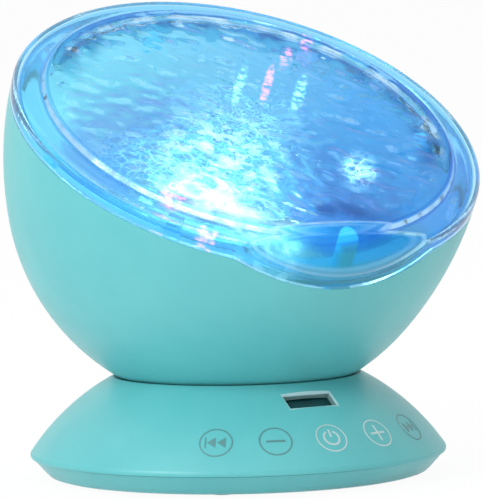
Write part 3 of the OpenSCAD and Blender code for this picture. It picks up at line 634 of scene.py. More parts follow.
def add_light(tree, light, tint, strength, *masks):
    """Add a tint to the light so far, at a strength times every mask."""
    level = strength
    for mask in masks:
        level = times(tree, mask, level)
    lit = blend_colour(tree, level, BLACK, tint)
    if light is None:
        return lit
    return fed_node(tree, "Mix", {6: light, 7: lit}, {0: 1.0}, data_type="RGBA", blend_type="ADD")[2]


# %% [markdown]
# The cover, the dish and the bowl share one ring of light at the edge of the head, and at the scoop
# the bowl's turquoise shows in it. The distance from the axis says how far out a point lies, and a
# patch marks the scoop. As a group, it gives all three materials the same edge.


# %% Rim of the head's inside
def make_rim_group():
    """Distance from the head's axis, and 1 on the rim at the scoop, where the turquoise shows."""
    tree, given, out = start_group("head rim", [], [("Distance", "Float"), ("Front", "Float")])
    flat = fed_node(tree, "VectorMath", {0: given["Vector"]}, {1: (1, 1, 0)}, operation="MULTIPLY")
    distance = fed_node(tree, "VectorMath", {0: flat[0]}, operation="LENGTH")["Value"]
    join(tree, distance, out["Distance"])
    near = patch(tree, given["Vector"], (39, -58), (36, 36), 0.7)
    rim = spread(tree, distance, 0.0635, 0.0665, smooth=True)
    join(tree, times(tree, near, rim), out["Front"])
    return tree


RIM = make_rim_group()

# %% [markdown]
# The dish is white plastic, but the lamps turn it blue: pale on one side and deep on the other. Real
# lamps would have to shine through two rippled sheets, which takes a very long render. Emission in
# the same colours gives the look at once.


# %% Glow of the dish
def colour_steps(tree, value, stops):
    ramp = add_node(tree, "ValToRGB")
    while len(ramp.color_ramp.elements) < len(stops):
        ramp.color_ramp.elements.new(0.5)
    for element, (where, tint) in zip(ramp.color_ramp.elements, stops):
        element.position = where
        element.color = tint
    join(tree, value, ramp.inputs[0])
    return ramp.outputs[0]


def dish_finish():
    material, tree, surface, place = start_material("lit reflector")
    inside = head_place(tree, place)
    cloud = fed_node(tree, "TexNoise", {"Vector": inside}, {"Scale": 38.0, "Detail": 2.0})["Fac"]
    across = spread(tree, along(tree, inside, "X"), -0.06, 0.06, -0.1, 0.9)
    across = math_node(tree, "ADD", across, times(tree, cloud, 0.2))
    high = colour_steps(tree, across, [
        (0.0, rgb(146, 250, 246)), (0.3, rgb(134, 230, 242)), (0.55, rgb(106, 204, 236)),
        (0.8, rgb(14, 166, 226)), (1.0, rgb(4, 142, 206)),
    ])
    low = colour_steps(tree, across, [
        (0.0, rgb(122, 198, 232)), (0.3, rgb(108, 174, 230)), (0.55, rgb(64, 168, 226)),
        (0.8, rgb(0, 124, 198)), (1.0, rgb(0, 98, 166)),
    ])
    depth = spread(tree, along(tree, inside, "Z"), -0.02, 0.006, 1.0, 0.0, smooth=True)
    glow = blend_colour(tree, depth, high, low)
    water = place_group(tree, THREADS, inside, {"Size": 170.0, "Width": 0.2})
    # A patch of painted light at the peg.
    peg_glow = patch(tree, inside, (38.8, -50.3, 18), (4.2, 4.2, 7), 0.75)
    glow = add_light(tree, glow, rgb(70, 190, 190), 0.8, peg_glow)
    wall = patch(tree, inside, (-2, 58, -12), (30, 30, 16))
    glow = add_light(tree, glow, rgb(170, 250, 245), 1.0, water["Threads"], wall)
    front = place_group(tree, RIM, inside)["Front"]
    join(tree, blend_colour(tree, front, glow, rgb(70, 150, 158)), surface["Emission Color"])
    surface["Emission Strength"].default_value = 0.75
    # The base colour is painted blue as well, for the lamps' light on the white plastic.
    tones = {"Size": 60.0, "First": rgb(20, 104, 150), "Second": rgb(10, 84, 140)}
    tone = place_group(tree, DRIFT, place, tones)["Colour"]
    gloss = spread(tree, water["Patches"], 0.3, 0.7, 0.35, 0.55)
    skin = place_group(tree, GRAIN, place, {"Grain": 1200.0, "Waviness": 2.0})
    dress(tree, surface, tone, gloss, skin["Height"], 0.05)
    return material


dish_glow = dish_finish()

# %% [markdown]
# Above the dish, the bowl's inner wall shows through the cover's rim. It is the casing's plastic, so
# the outside stays as it is, and only points within the wall's radius get the blue light.

# %% Bowl, lit inside above the dish
LIT_WALL_R = 0.0739
LIT_WALL_FROM = 0.009


def bowl_finish():
    material = casing("turquoise bowl")
    tree, surface = material.node_tree, surface_of(material)
    inside = head_place(tree, tree.nodes["Texture Coordinate"].outputs["Object"])
    rim = place_group(tree, RIM, inside)
    parts = fed_node(tree, "SeparateXYZ", {0: inside})
    wall = math_node(tree, "LESS_THAN", rim["Distance"], LIT_WALL_R)
    wall = times(tree, wall, math_node(tree, "GREATER_THAN", parts["Z"], LIT_WALL_FROM))
    side = spread(tree, parts["X"], -0.07, 0.07)
    tone = blend_colour(tree, side, rgb(60, 176, 226), rgb(0, 116, 186))
    tone = blend_colour(tree, rim["Front"], tone, rgb(58, 132, 138))
    join(tree, add_light(tree, None, tone, 0.8, wall), surface["Emission Color"])
    surface["Emission Strength"].default_value = 0.8
    return material


bowl_plastic = bowl_finish()

# %% [markdown]
# Each lamp is a small package with a coated face. A lit face looks nearly white with some cyan, so one
# speckled colour is used both as its own colour and as its light.


# %% Lamps
def lamp_finish():
    material, tree, surface, place = start_material("lamp face")
    spots = fed_node(tree, "TexVoronoi", {"Vector": place}, {"Scale": 900.0})
    colour = blend_colour(tree, spots["Distance"], rgb(255, 250, 236), rgb(176, 240, 255))
    join(tree, colour, surface["Base Color"])
    join(tree, colour, surface["Emission Color"])
    surface["Emission Strength"].default_value = 2.5
    surface["Roughness"].default_value = 0.3
    return material


lamp_face = lamp_finish()

# %% [markdown]
# ## Which finish goes where
# Every CAD node keeps its shape and gets one of the finishes above. The clear cover and the rippled
# disc aren't in this table, because new pieces stand for them further down.

# %% Finish of every CAD node
FINISH = {
    turquoise_shell: ["base_shell"],
    turquoise: ["base_pan", "saddle"],
    bowl_plastic: ["bowl"],
    white_plastic: ["gearbox_case", "rotor_washer", "rotor_gear"],
    black_plastic: ["ir_receiver", "power_jack", "audio_jack"],
    foot_rubber: ["rubber_feet"],
    dark_rubber: ["speaker_gasket", "friction_ring"],
    blue_steel: ["dish_screws"],
    steel: [
        "base_screws", "board_screws", "speaker_frame", "speaker_screws", "pivot_post", "disc_springs",
        "clamp_washer", "clamp_nut", "heat_spreader", "led_board_screws", "motor_can",
        "motor_screws", "rotor_axle", "axle_clip", "motor_shaft",
    ],
    magnet_grey: ["speaker_magnet"],
    brass: ["motor_pinion"],
    copper: ["touch_pads"],
    amber_film: ["touch_flex"],
    green_board: ["sensor_board", "main_board", "jack_board"],
    lamp_board: ["led_board"],
    board_parts: ["board_parts"],
    ink: ["key_prints"],
    smoked: ["window_lens"],
    braid: ["post_cable", "lamp_cable"],
    paper: ["speaker_cone"],
    dish_glow: ["reflector_dish"],
    lamp_face: ["leds"],
}

for finish, names in FINISH.items():
    for name in names:
        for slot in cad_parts[name].material_slots:
            slot.material = finish
print("finished nodes:", sum(len(names) for names in FINISH.values()))

# %% [markdown]
# ## Clear cover
# The cover is one clear moulding: a side band, a rounded shoulder, a ledge, a fine groove, a raised
# rippled disc and a scoop at the front. It could be cut with booleans, but the cuts would leave hard
# edges. Here one outline is spun round the axis, and then each point slides along its ray
# from the ball's centre until it lies under the scoop, with a soft minimum that rounds the lip.

# %% Sizes of the cover, in millimetres about the ball's centre
BOWL_R = 72.0
FLARE_ANGLE = math.radians(21)
FLARE_R = 124.0
FLARE_X = -(FLARE_R - BOWL_R) * math.cos(FLARE_ANGLE)
FLARE_H = (FLARE_R - BOWL_R) * math.sin(FLARE_ANGLE)
SIDE_R = FLARE_X + FLARE_R
RIM_H = 16.0
LEDGE_H = 22.2
DISC_H = 23.8
DISC_R = 66.0
DISC_EDGE = 0.8
GROOVE_W = 1.3
GROOVE_DEPTH = 0.25
GROOVE_FLOOR = LEDGE_H - GROOVE_DEPTH
SHOULDER_R = 3.0
SHOULDER_INSET = 0.02
SHOULDER_X = SIDE_R - SHOULDER_INSET - SHOULDER_R
SHOULDER_H = LEDGE_H - SHOULDER_R
WALL = 2.2
TONGUE_OUTER, TONGUE_INNER = 2.55, 3.75
TONGUE_BOTTOM, TONGUE_TOP = -2.35, 1.6
STEP_H = 2.0
SEAM_GAP = 0.15
SCOOP_Y = 60.5
SCOOP_FALL = math.radians(35)
SCOOP_R = 200.0
SCOOP_TURN = math.radians(-1.5)
DIP_H = 8.6
DIP_R = 85.0
COLUMNS = 384


def side_radius(height, inset):
    """Radius of the bowl's and band's side at a height."""
    reach = FLARE_R - inset
    return FLARE_X + math.sqrt(reach * reach - (height - FLARE_H) ** 2)


def seam_height(x, y):
    """Height of the seam over a point, with the dip at the front."""
    turned = x * math.cos(SCOOP_TURN) + y * math.sin(SCOOP_TURN)
    radius = DIP_R - SEAM_GAP
    if y > 0 or abs(turned) >= radius:
        return RIM_H + SEAM_GAP
    dip = DIP_H + DIP_R - math.sqrt(radius * radius - turned * turned)
    return min(RIM_H + SEAM_GAP, dip)


print("cover:", round(2 * SIDE_R, 1), "mm wide, seam down to", round(seam_height(0, -SIDE_R), 1), "mm")


# %% Outline of the cover
def steps(start, end, count):
    return [start + (end - start) * i / count for i in range(1, count + 1)]


def cover_outside():
    """Rows of (kind, radius or inset, height or share) from the middle of the disc to the seam."""
    flat_r, ring_r = DISC_R - DISC_EDGE, DISC_R + GROOVE_W
    rows = [("disc", r, DISC_H) for r in [0.0] + steps(0, flat_r, 60)]
    for angle in (30, 60, 90):
        turn = math.radians(angle)
        across, up = DISC_EDGE * math.sin(turn), DISC_EDGE * math.cos(turn)
        rows.append(("plain", flat_r + across, DISC_H - DISC_EDGE + up))
    rows += [("plain", DISC_R + 0.25, LEDGE_H + 0.3), ("plain", DISC_R + 0.5, GROOVE_FLOOR)]
    rows += [("plain", ring_r - 0.3, GROOVE_FLOOR), ("plain", ring_r, LEDGE_H - 0.1)]
    rows += [("plain", r, LEDGE_H) for r in [ring_r + 0.25] + steps(ring_r + 0.25, SHOULDER_X, 3)]
    for i in range(1, 10):
        turn = math.radians(10 * i)
        across, up = SHOULDER_R * math.sin(turn), SHOULDER_R * math.cos(turn)
        rows.append(("plain", SHOULDER_X + across, SHOULDER_H + up))
    rows += [("band", 0.0, share) for share in steps(0.0, 0.94, 12) + [0.98, 1.0]]
    return rows


def cover_inside():
    """The same from the tongue under the band back to the middle of the disc."""
    rows = [("tongue", TONGUE_OUTER, 0.0), ("tongue", TONGUE_OUTER, TONGUE_BOTTOM)]
    rows += [("tongue", TONGUE_INNER, TONGUE_BOTTOM), ("tongue", TONGUE_INNER, TONGUE_TOP)]
    rows += [("tongue", WALL, STEP_H)]
    rows += [("inner band", WALL, share) for share in steps(1.0, 0.0, 8)]
    inner = SHOULDER_R - WALL * 0.95
    for angle in (67.5, 45, 22.5, 0):
        turn = math.radians(angle)
        rows.append(("plain", SHOULDER_X + inner * math.sin(turn), SHOULDER_H + inner * math.cos(turn)))
    rows += [("plain", r, LEDGE_H - WALL) for r in steps(SHOULDER_X, DISC_R - WALL, 5)]
    rows += [("plain", r, DISC_H - WALL) for r in steps(DISC_R - WALL - 0.6, 0.0, 26)]
    return rows


# %% [markdown]
# The band follows the bowl's curved side and ends on a seam that dips at the front, so its rows aren't
# circles. Such a row holds its share of the way down to the seam, and the real radius and height are
# worked out for each direction.


# %% Where a row of the outline lies
def row_point(row, outward):
    """A row's radius and height in one direction from the axis."""
    kind, radius, height = row
    if kind in ("disc", "plain"):
        return Vector((radius, height))
    seam = seam_height(outward.x * SIDE_R, outward.y * SIDE_R)
    if kind == "tongue":
        height += seam
    else:
        bottom = seam if kind == "band" else seam + STEP_H
        height = SHOULDER_H + (bottom - SHOULDER_H) * height
    return Vector((side_radius(height, radius), height))


# %% [markdown]
# The scoop is part of a lying cylinder. A ray from the ball's centre meets it at one distance, and
# the spun outline at another, so the nearer one is the surface. The soft minimum blends the two
# over a small reach, and its size sets how sharp the lip is.


# %% Scoop
def scoop_distance(direction, grow):
    """How far along a ray from the ball's centre the hollow of the scoop starts."""
    turned = Matrix.Rotation(-SCOOP_TURN, 3, "Z") @ direction
    up = Vector((0, -math.sin(SCOOP_FALL), math.cos(SCOOP_FALL)))
    centre = Vector((0, -SCOOP_Y, DISC_H)) + up * SCOOP_R
    ray = Vector((turned.x, turned.dot(up)))
    middle = Vector((centre.x, centre.dot(up)))
    a = ray.dot(ray)
    b = -2 * ray.dot(middle)
    c = middle.dot(middle) - (SCOOP_R + grow) ** 2
    root = b * b - 4 * a * c
    if root <= 0:
        return FAR_MM
    near = (-b - math.sqrt(root)) / (2 * a)
    return near if near > 0 else FAR_MM


def soft_minimum(a, b, reach):
    """The lesser of two values, a little less still where they are closer than the reach."""
    overlap = max(reach - abs(a - b), 0.0) / reach
    return min(a, b) - overlap * overlap * reach / 4


def fade(value, start, end):
    """0 up to the start, 1 from the end on, and a soft rise between."""
    share = min(max((value - start) / (end - start), 0.0), 1.0)
    return share * share * (3 - 2 * share)


middle_ray = Vector((0, -SIDE_R, SHOULDER_H)).normalized()
print("the scoop starts", round(scoop_distance(middle_ray, 0.0), 1), "mm out at the front")

# %% [markdown]
# The ripples are a sum of two noise fields that fade out at the disc's edge and at the scoop. They
# are only on top, as on the real moulding, so the light bends once at each ripple.

# %% Ripples
COVER_RIPPLES = ((5.6, 0.6, 3.1), (2.9, 0.22, 9.7))


def ripple(point, fields):
    """Sum of noise fields at a point. Each field has a width, a height and a level of its own."""
    return sum(
        height * noise.noise(Vector((point.x / width, point.y / width, level)))
        for width, height, level in fields
    )


print("ripples lift by up to", sum(height for _, height, _ in COVER_RIPPLES), "mm")

# %% [markdown]
# One function takes a point of the spun pattern to the skin. It finds where the row lies, how near the
# scoop is, how the ripples lift the point, and how much light comes out there. The light could be
# painted by hand, but stored with each point it follows the lip when a size changes.

# %% Point of the cover's skin
OUTSIDE_ROWS = cover_outside()
COVER_ROWS = OUTSIDE_ROWS + cover_inside()
INSIDE_FROM = len(OUTSIDE_ROWS)
RING_ROWS = [
    number for number, (kind, radius, _) in enumerate(OUTSIDE_ROWS)
    if kind != "disc" and DISC_R - 0.5 < radius < DISC_R + 1.6
]
print("outline:", len(COVER_ROWS), "rows, of which", INSIDE_FROM, "outside")
LIP_BLEND, INNER_BLEND = 0.7, 1.5
GROOVE_FADE, SCOOP_CALM, EDGE_CALM, FLAT_EDGE = 1.5, 5.0, 4.0, 1.5
FRONT_FROM, FRONT_TO = 65.0, 71.0
LIP_LIGHT, SECOND_LIGHT, FRONT_LIGHT, RING_LIGHT, OUTER_LIGHT = 1.0, 0.4, 0.3, 0.35, 0.17


def bell(value, centre, width):
    return math.exp(-((value - centre) / width) ** 2)


def edge_share(number, room, front):
    """Up to 1 where light comes out: at the scoop's lip, less on the ring, least further out."""
    lip = LIP_LIGHT * bell(room, -0.3, 0.45) + SECOND_LIGHT * bell(room, -2.0, 0.6)
    lip += FRONT_LIGHT * front * (1 - fade(abs(room + 1.1), 0.7, 1.5))
    middle = (RING_ROWS[0] + RING_ROWS[-1]) / 2
    half = (RING_ROWS[-1] - RING_ROWS[0]) / 2 + 0.5
    ring = RING_LIGHT * (1 - fade(abs(number - middle), half - 1, half))
    outer = OUTER_LIGHT * fade(number, RING_ROWS[-1] - 0.5, RING_ROWS[-1] + 0.5)
    return min(lip + (ring + outer) * fade(room, -0.2, 0.6), 1.0)


def place_on_cover(flat):
    """Take a point of the flat pattern, whose height is its row's number, to the real surface.

    Returns the point, its room to the scoop, its edge light and its share in the scoop's floor."""
    number = int(min(flat.z + 1e-6, len(COVER_ROWS) - 1))
    share = max(flat.z - number, 0.0)
    outward = Vector((flat.x, flat.y, 0))
    outward = outward.normalized() if outward.length > 1e-6 else Vector((0, 0, 0))
    spot = row_point(COVER_ROWS[number], outward)
    kind = COVER_ROWS[number][0]
    if share > 1e-5:
        spot = spot.lerp(row_point(COVER_ROWS[number + 1], outward), share)
    point = outward * spot.x + Vector((0, 0, spot.y))
    inside = number >= INSIDE_FROM
    grow = WALL if inside else 0.0
    room = scoop_distance(point.normalized(), grow) - point.length
    if not inside and point.z < LEDGE_H and spot.x < DISC_R + GROOVE_W + 0.3:
        point.z += (LEDGE_H - point.z) * (1 - fade(room, 0.0, GROOVE_FADE))
    distance = point.length
    hollow = scoop_distance(point / distance, grow)
    room = hollow - distance
    if kind == "tongue":
        return point * (min(distance, hollow + 0.3) / distance), room, 0.0, 0.0
    blend = INNER_BLEND if inside else LIP_BLEND
    point = point * (soft_minimum(distance, hollow, blend) / distance)
    if kind == "disc":
        calm = fade(room, 0.0, SCOOP_CALM) * fade(DISC_R - FLAT_EDGE - spot.x, 0.0, EDGE_CALM)
        point.z += ripple(point, COVER_RIPPLES) * calm
    if inside:
        return point, room, 0.0, 0.0
    front = fade(-point.y, FRONT_FROM, FRONT_TO)
    return point, room, edge_share(number + share, room, front), 1 - fade(room, -2.6, -0.6)


# %% [markdown]
# The pattern is spun as a plain stack of rings. Before its points go to their real places, edges
# near the scoop's lip are split, those on the lip twice, so that it comes out as a fine clean line.

# %% Spin and shape the cover
BAND_SHOWN_R = SIDE_R - 3
NEAR_LIP = 20.0
LIP_SPLITS = ((1.2, 2.0), (0.0, 0.5))


def at_lip(edge, room, shift, reach):
    """True for an edge that crosses the scoop's lip, or comes near the line beside it."""
    first, second = (room[vert] for vert in edge.verts)
    if max(first, second) >= NEAR_LIP:
        return False
    return first * second < 0 or min(abs(first + shift), abs(second + shift)) < reach


def make_cover():
    bm = bmesh.new()
    chain = []
    for number, (kind, radius, _) in enumerate(COVER_ROWS):
        shown = radius if kind in ("disc", "plain") else BAND_SHOWN_R
        chain.append(bm.verts.new((shown, 0, number)))
    edges = [bm.edges.new(pair) for pair in zip(chain, chain[1:])]
    bmesh.ops.spin(
        bm, geom=chain + edges, cent=(0, 0, 0), axis=(0, 0, 1), angle=2 * math.pi,
        steps=COLUMNS, use_merge=True,
    )
    bmesh.ops.remove_doubles(bm, verts=bm.verts, dist=0.001)
    for shift, reach in LIP_SPLITS:
        room = {}
        for vert in bm.verts:
            outer_front = vert.co.y < 0 and vert.co.z < INSIDE_FROM
            room[vert] = place_on_cover(vert.co)[1] if outer_front else FAR_MM
        chosen = [edge for edge in bm.edges if at_lip(edge, room, shift, reach)]
        bmesh.ops.subdivide_edges(bm, edges=chosen, cuts=1, use_grid_fill=True)
    edge_light = bm.verts.layers.float.new("edge_light")
    scoop_floor = bm.verts.layers.float.new("scoop_floor")
    for vert in bm.verts:
        vert.co, _, vert[edge_light], vert[scoop_floor] = place_on_cover(vert.co)
    bmesh.ops.remove_doubles(bm, verts=bm.verts, dist=0.002)
    bmesh.ops.recalc_face_normals(bm, faces=bm.faces)
    return bm


# %% [markdown]
# Four hooks under the cover's edge catch the dish's flange, one on each diagonal. Each is a thin
# tongue with a toe that points inwards. They are bevelled boxes, moved into the same mesh.

# %% Hooks
HOOK_R = 68.6
HOOK_W = 5.0
HOOK_LIGHT = 0.3
HOOK_BOXES = (((HOOK_R, 6.9), (HOOK_R + 1.4, 20.2)), ((HOOK_R - 1.1, 6.9), (HOOK_R + 0.5, 8.3)))


def add_hooks(bm):
    layer = bm.verts.layers.float["edge_light"]
    for angle in (45, 135, 225, 315):
        turn = Matrix.Rotation(math.radians(angle), 3, "Z")
        for (inner, bottom), (outer, top) in HOOK_BOXES:
            made = bmesh.ops.create_cube(bm, size=1)["verts"]
            bmesh.ops.scale(bm, vec=(outer - inner, HOOK_W, top - bottom), verts=made)
            bmesh.ops.translate(bm, vec=((inner + outer) / 2, 0, (bottom + top) / 2), verts=made)
            edges = list({edge for vert in made for edge in vert.link_edges})
            done = bmesh.ops.bevel(
                bm, geom=edges, offset=0.25, offset_type="OFFSET", segments=2, profile=0.5,
                affect="EDGES", material=-1,
            )
            shaped = {vert for face in done["faces"] for vert in face.verts}
            shaped |= {vert for vert in made if vert.is_valid}
            bmesh.ops.rotate(bm, cent=(0, 0, 0), matrix=turn, verts=list(shaped))
            for vert in shaped:
                vert[layer] = HOOK_LIGHT


# %% [markdown]
# The cover's plastic is clear with a trace of blue. Light from the lamps runs along inside it and
# comes out at its rim, at its edges and at its ripples. That is drawn as faint emission: a veil on
# the rim, fine bright threads and grains over the lamps, and a few pink and pale streaks.

# %% Clear plastic
MIRROR_TINT = (0.15, 0.6, 1.0, 1.0)


def clear_base(name, first, second, bend):
    material, tree, surface, place = start_material(name)
    drift = place_group(tree, DRIFT, place, {"Size": 22.0, "First": first, "Second": second})
    marks = place_group(tree, HANDLING, place, {"Size": 60.0, "Glossy": 0.0, "Dull": 0.03})
    skin = place_group(tree, GRAIN, place, {"Grain": 420.0, "Waviness": 0.0})
    dress(tree, surface, drift["Colour"], marks["Roughness"], skin["Height"], 0.05)
    surface["Transmission Weight"].default_value = 1.0
    surface["IOR"].default_value = bend
    surface["Specular Tint"].default_value = MIRROR_TINT
    return material, tree, surface, head_place(tree, place)


def speckles(tree, inside, size, low, high):
    return place_group(tree, SPECKS, inside, {"Size": size, "Low": low, "High": high})["Mask"]


# %% [markdown]
# The cover's tint is bluer on the rim and at the ring. Along a crescent inside the ring and in two
# hollows by the scoop it is painted a darker blue, as painted shade: a tint that depends on the place.


# %% Colour of the cover
def painted_shade_mask(tree, inside, radius):
    """1 where shade is painted: a crescent inside the ring, and two hollows by the scoop."""
    crescent = between(tree, radius, 0.0515, 0.058, 0.0625, 0.0645)
    far_side = spread(tree, along(tree, inside, "Y"), -0.02, 0.012, smooth=True)
    waves = speckles(tree, inside, 120.0, 0.36, 0.6)
    deep = times(tree, times(tree, crescent, far_side), waves)
    for centre, reach, core in (((38, -40), (11, 6), 0.2), ((30, -44), (5, 4), 0.4)):
        deep = math_node(tree, "MAXIMUM", deep, patch(tree, inside, centre, reach, core))
    return deep


def cover_colour(tree, inside, plain, rim, on_rim):
    """The clear plastic's tint: bluer on the rim and the ring, with painted shade in the crescent and
    hollows.
    """
    tone = blend_colour(tree, rim["Front"], rgb(172, 226, 247), rgb(164, 218, 224))
    colour = blend_colour(tree, on_rim, plain, tone)
    ring = between(tree, rim["Distance"], 0.0643, 0.0649, 0.0670, 0.0675)
    colour = blend_colour(tree, ring, colour, rgb(122, 186, 236))
    # Painted shade: a darker blue in the crescent and the two hollows.
    return blend_colour(tree, painted_shade_mask(tree, inside, rim["Distance"]), colour, rgb(76, 170, 210))


# %% [markdown]
# The lamps' light leaves the cover as a veil on the rim, along its edges, and as threads, grains and
# streaks. Each of the last kind is a pattern within a soft patch, so a list holds them, one in a line.

# %% Light in the cover
WHITE_HOT = rgb(236, 255, 255)
PALE_CYAN = rgb(150, 244, 255)
PINK = rgb(255, 120, 200)


def edge_glow(tree, inside, front, on_rim, edges, scoop):
    """Light that comes out at the rim, at the edges and at the floor of the scoop."""
    tones = {"Size": 26.0, "First": rgb(40, 128, 164), "Second": rgb(100, 118, 170)}
    veil = place_group(tree, DRIFT, inside, tones)["Colour"]
    light = add_light(tree, None, blend_colour(tree, front, veil, rgb(96, 140, 148)), 0.07, on_rim)
    light = add_light(tree, light, rgb(196, 226, 255), 0.24, edges)
    side = spread(tree, along(tree, inside, "X"), 0.012, 0.055, smooth=True)
    tone = blend_colour(tree, side, rgb(70, 214, 238), rgb(8, 112, 176))
    return add_light(tree, light, tone, 0.16, scoop)


def water_light(tree, inside, light):
    """Light from the lamps: each line is one pattern, seen within one soft patch."""
    water = place_group(tree, THREADS, inside, {"Size": 230.0, "Width": 0.1})
    threads, clouds = water["Threads"], water["Patches"]
    grains = speckles(tree, inside, 210.0, 0.52, 0.6)
    shards = speckles(tree, inside, 290.0, 0.45, 0.58)
    blots = speckles(tree, inside, 160.0, 0.36, 0.6)
    dots = speckles(tree, inside, 380.0, 0.42, 0.68)
    for tint, strength, pattern, centre, reach, core in (
        (rgb(130, 255, 232), 0.28, threads, (-5, -30), (26, 38), 0.2),
        (WHITE_HOT, 0.42, grains, (-5, -30), (26, 38), 0.2),
        (PALE_CYAN, 0.35, threads, (-24, -44), (24, 24), 0.2),
        (PALE_CYAN, 0.6, shards, (37, -14), (8, 14), 0.2),
        (WHITE_HOT, 0.4, threads, (37, -14), (8, 14), 0.2),
        (WHITE_HOT, 0.5, blots, (-4, -57), (21, 13), 0.2),
        (PALE_CYAN, 0.6, clouds, (13, -65), (17, 10), 0.1),
        (WHITE_HOT, 0.3, grains, (13, -65), (17, 10), 0.1),
        (PINK, 0.9, dots, (2.4, 25), (1.8, 18), 0.5),
        (PINK, 0.9, dots, (11, 60), (2.4, 9), 0.5),
        (PINK, 0.9, dots, (-16, -60), (5, 8), 0.5),
        (PINK, 0.9, dots, (-3, -73), (4, 3), 0.5),
        (PALE_CYAN, 0.9, dots, (-6, 20), (2, 17), 0.5),
        (PALE_CYAN, 0.9, dots, (13, 24), (2.4, 15), 0.5),
        (PINK, 0.9, dots, (6, 45), (2.4, 8), 0.5),
    ):
        light = add_light(tree, light, tint, strength, pattern, patch(tree, inside, centre, reach, core))
    return light


# %% Finish of the cover
def vertex_value(tree, name):
    return add_node(tree, "Attribute", attribute_name=name).outputs["Fac"]


def cover_finish():
    material, tree, surface, inside = clear_base(
        "clear cover plastic", rgb(212, 243, 255), rgb(226, 241, 255), 1.34
    )
    rim = place_group(tree, RIM, inside)
    on_rim = spread(tree, rim["Distance"], 0.0645, 0.0655, smooth=True)
    plain = surface["Base Color"].links[0].from_socket
    join(tree, cover_colour(tree, inside, plain, rim, on_rim), surface["Base Color"])
    edges, scoop = vertex_value(tree, "edge_light"), vertex_value(tree, "scoop_floor")
    marks = surface["Roughness"].links[0].from_socket
    soft = math_node(tree, "ADD", times(tree, edges, 0.6), marks)
    soft = math_node(tree, "ADD", soft, times(tree, scoop, 0.2))
    join(tree, soft, surface["Roughness"])
    light = edge_glow(tree, inside, rim["Front"], on_rim, edges, scoop)
    join(tree, water_light(tree, inside, light), surface["Emission Color"])
    surface["Emission Strength"].default_value = 1.0
    return material


clear_blue = cover_finish()

# %% [markdown]
# Blender keeps a mesh apart from the object that shows it. This helper makes both from a finished
# bmesh, and marks as sharp only the edges that turn by more than a given angle.


# %% Put a finished mesh in the scene
def to_object(bm, name, material, smooth_angle=40):
    for face in bm.faces:
        face.smooth = True
    mesh = bpy.data.meshes.new(name)
    bm.to_mesh(mesh)
    bm.free()
    mesh.materials.append(material)
    mesh.set_sharp_from_angle(angle=math.radians(smooth_angle))
    piece = bpy.data.objects.new(name, mesh)
    scene.collection.objects.link(piece)
    mesh.calc_loop_triangles()
    print(name, "has", len(mesh.loop_triangles), "triangles")
    return piece


# %% [markdown]
# The mesh was built in millimetres about the ball's centre. It goes to metres and to the leaning
# head, rides with the head when that tilts, and stands for the plain CAD cover.

# %% Make the cover
cover_mesh = make_cover()
add_hooks(cover_mesh)
cover_mesh.transform(TO_METRES @ HEAD)
wave_cover = to_object(cover_mesh, "wave_cover", clear_blue, 35)
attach(wave_cover, "head")
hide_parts("clear_cover")

# %% [markdown]
# ## Rippled disc
# Over the lamps turns a clear disc, rippled on top. It is a closed ring with a hub, spun from its
# outline, and the points of its top face are lifted by a broader noise than the cover's.

# %% Make the disc
ROTOR_R = 46.0
ROTOR_TOP = -11.0
ROTOR_BOTTOM = -13.5
ROTOR_EDGE = 0.6
BORE_R = 1.55
HUB_R = 5.5
HUB_TOP = -8.0
HUB_BOTTOM = -16.45
HUB_EDGE = 0.5
NECK_R = 3.5
NECK_BOTTOM = -20.5
ROTOR_COLUMNS = 160
ROTOR_RIPPLES = ((11.0, 0.9, 5.3),)
ROTOR_CALM, HUB_CALM = 6.0, 4.0


def disc_outline():
    """Rows of (radius, height, 1 on the rippled face), from the bore over the top and back."""
    rows = [(BORE_R, HUB_TOP, 0), (HUB_R - HUB_EDGE, HUB_TOP, 0)]
    rows += [(HUB_R, HUB_TOP - HUB_EDGE, 0), (HUB_R, ROTOR_TOP, 0)]
    rows += [(r, ROTOR_TOP, 1) for r in steps(HUB_R, ROTOR_R - ROTOR_EDGE, 30)]
    rows += [(ROTOR_R, ROTOR_TOP - ROTOR_EDGE, 0), (ROTOR_R, ROTOR_BOTTOM + ROTOR_EDGE, 0)]
    rows += [(ROTOR_R - ROTOR_EDGE, ROTOR_BOTTOM, 0), (HUB_R, ROTOR_BOTTOM, 0), (HUB_R, HUB_BOTTOM, 0)]
    rows += [(NECK_R, HUB_BOTTOM, 0), (NECK_R, NECK_BOTTOM, 0), (BORE_R, NECK_BOTTOM, 0)]
    return rows


def make_disc():
    bm = bmesh.new()
    on_top = bm.verts.layers.int.new("on_top")
    chain = []
    for radius, height, top in disc_outline():
        vert = bm.verts.new((radius, 0, height))
        vert[on_top] = top
        chain.append(vert)
    edges = [bm.edges.new(pair) for pair in zip(chain, chain[1:] + chain[:1])]
    bmesh.ops.spin(
        bm, geom=chain + edges, cent=(0, 0, 0), axis=(0, 0, 1), angle=2 * math.pi,
        steps=ROTOR_COLUMNS, use_merge=True,
    )
    bmesh.ops.remove_doubles(bm, verts=bm.verts, dist=0.001)
    for vert in bm.verts:
        if vert[on_top]:
            radius = vert.co.xy.length
            room = min((ROTOR_R - radius) / ROTOR_CALM, (radius - HUB_R) / HUB_CALM, 1.0)
            vert.co.z += ripple(vert.co, ROTOR_RIPPLES) * room
    bmesh.ops.recalc_face_normals(bm, faces=bm.faces)
    return bm


# %% [markdown]
# The disc is of the same clear plastic and lies right over the lamps, so its middle is brightest. Its
# threads are wider than the cover's, because they are seen through it.


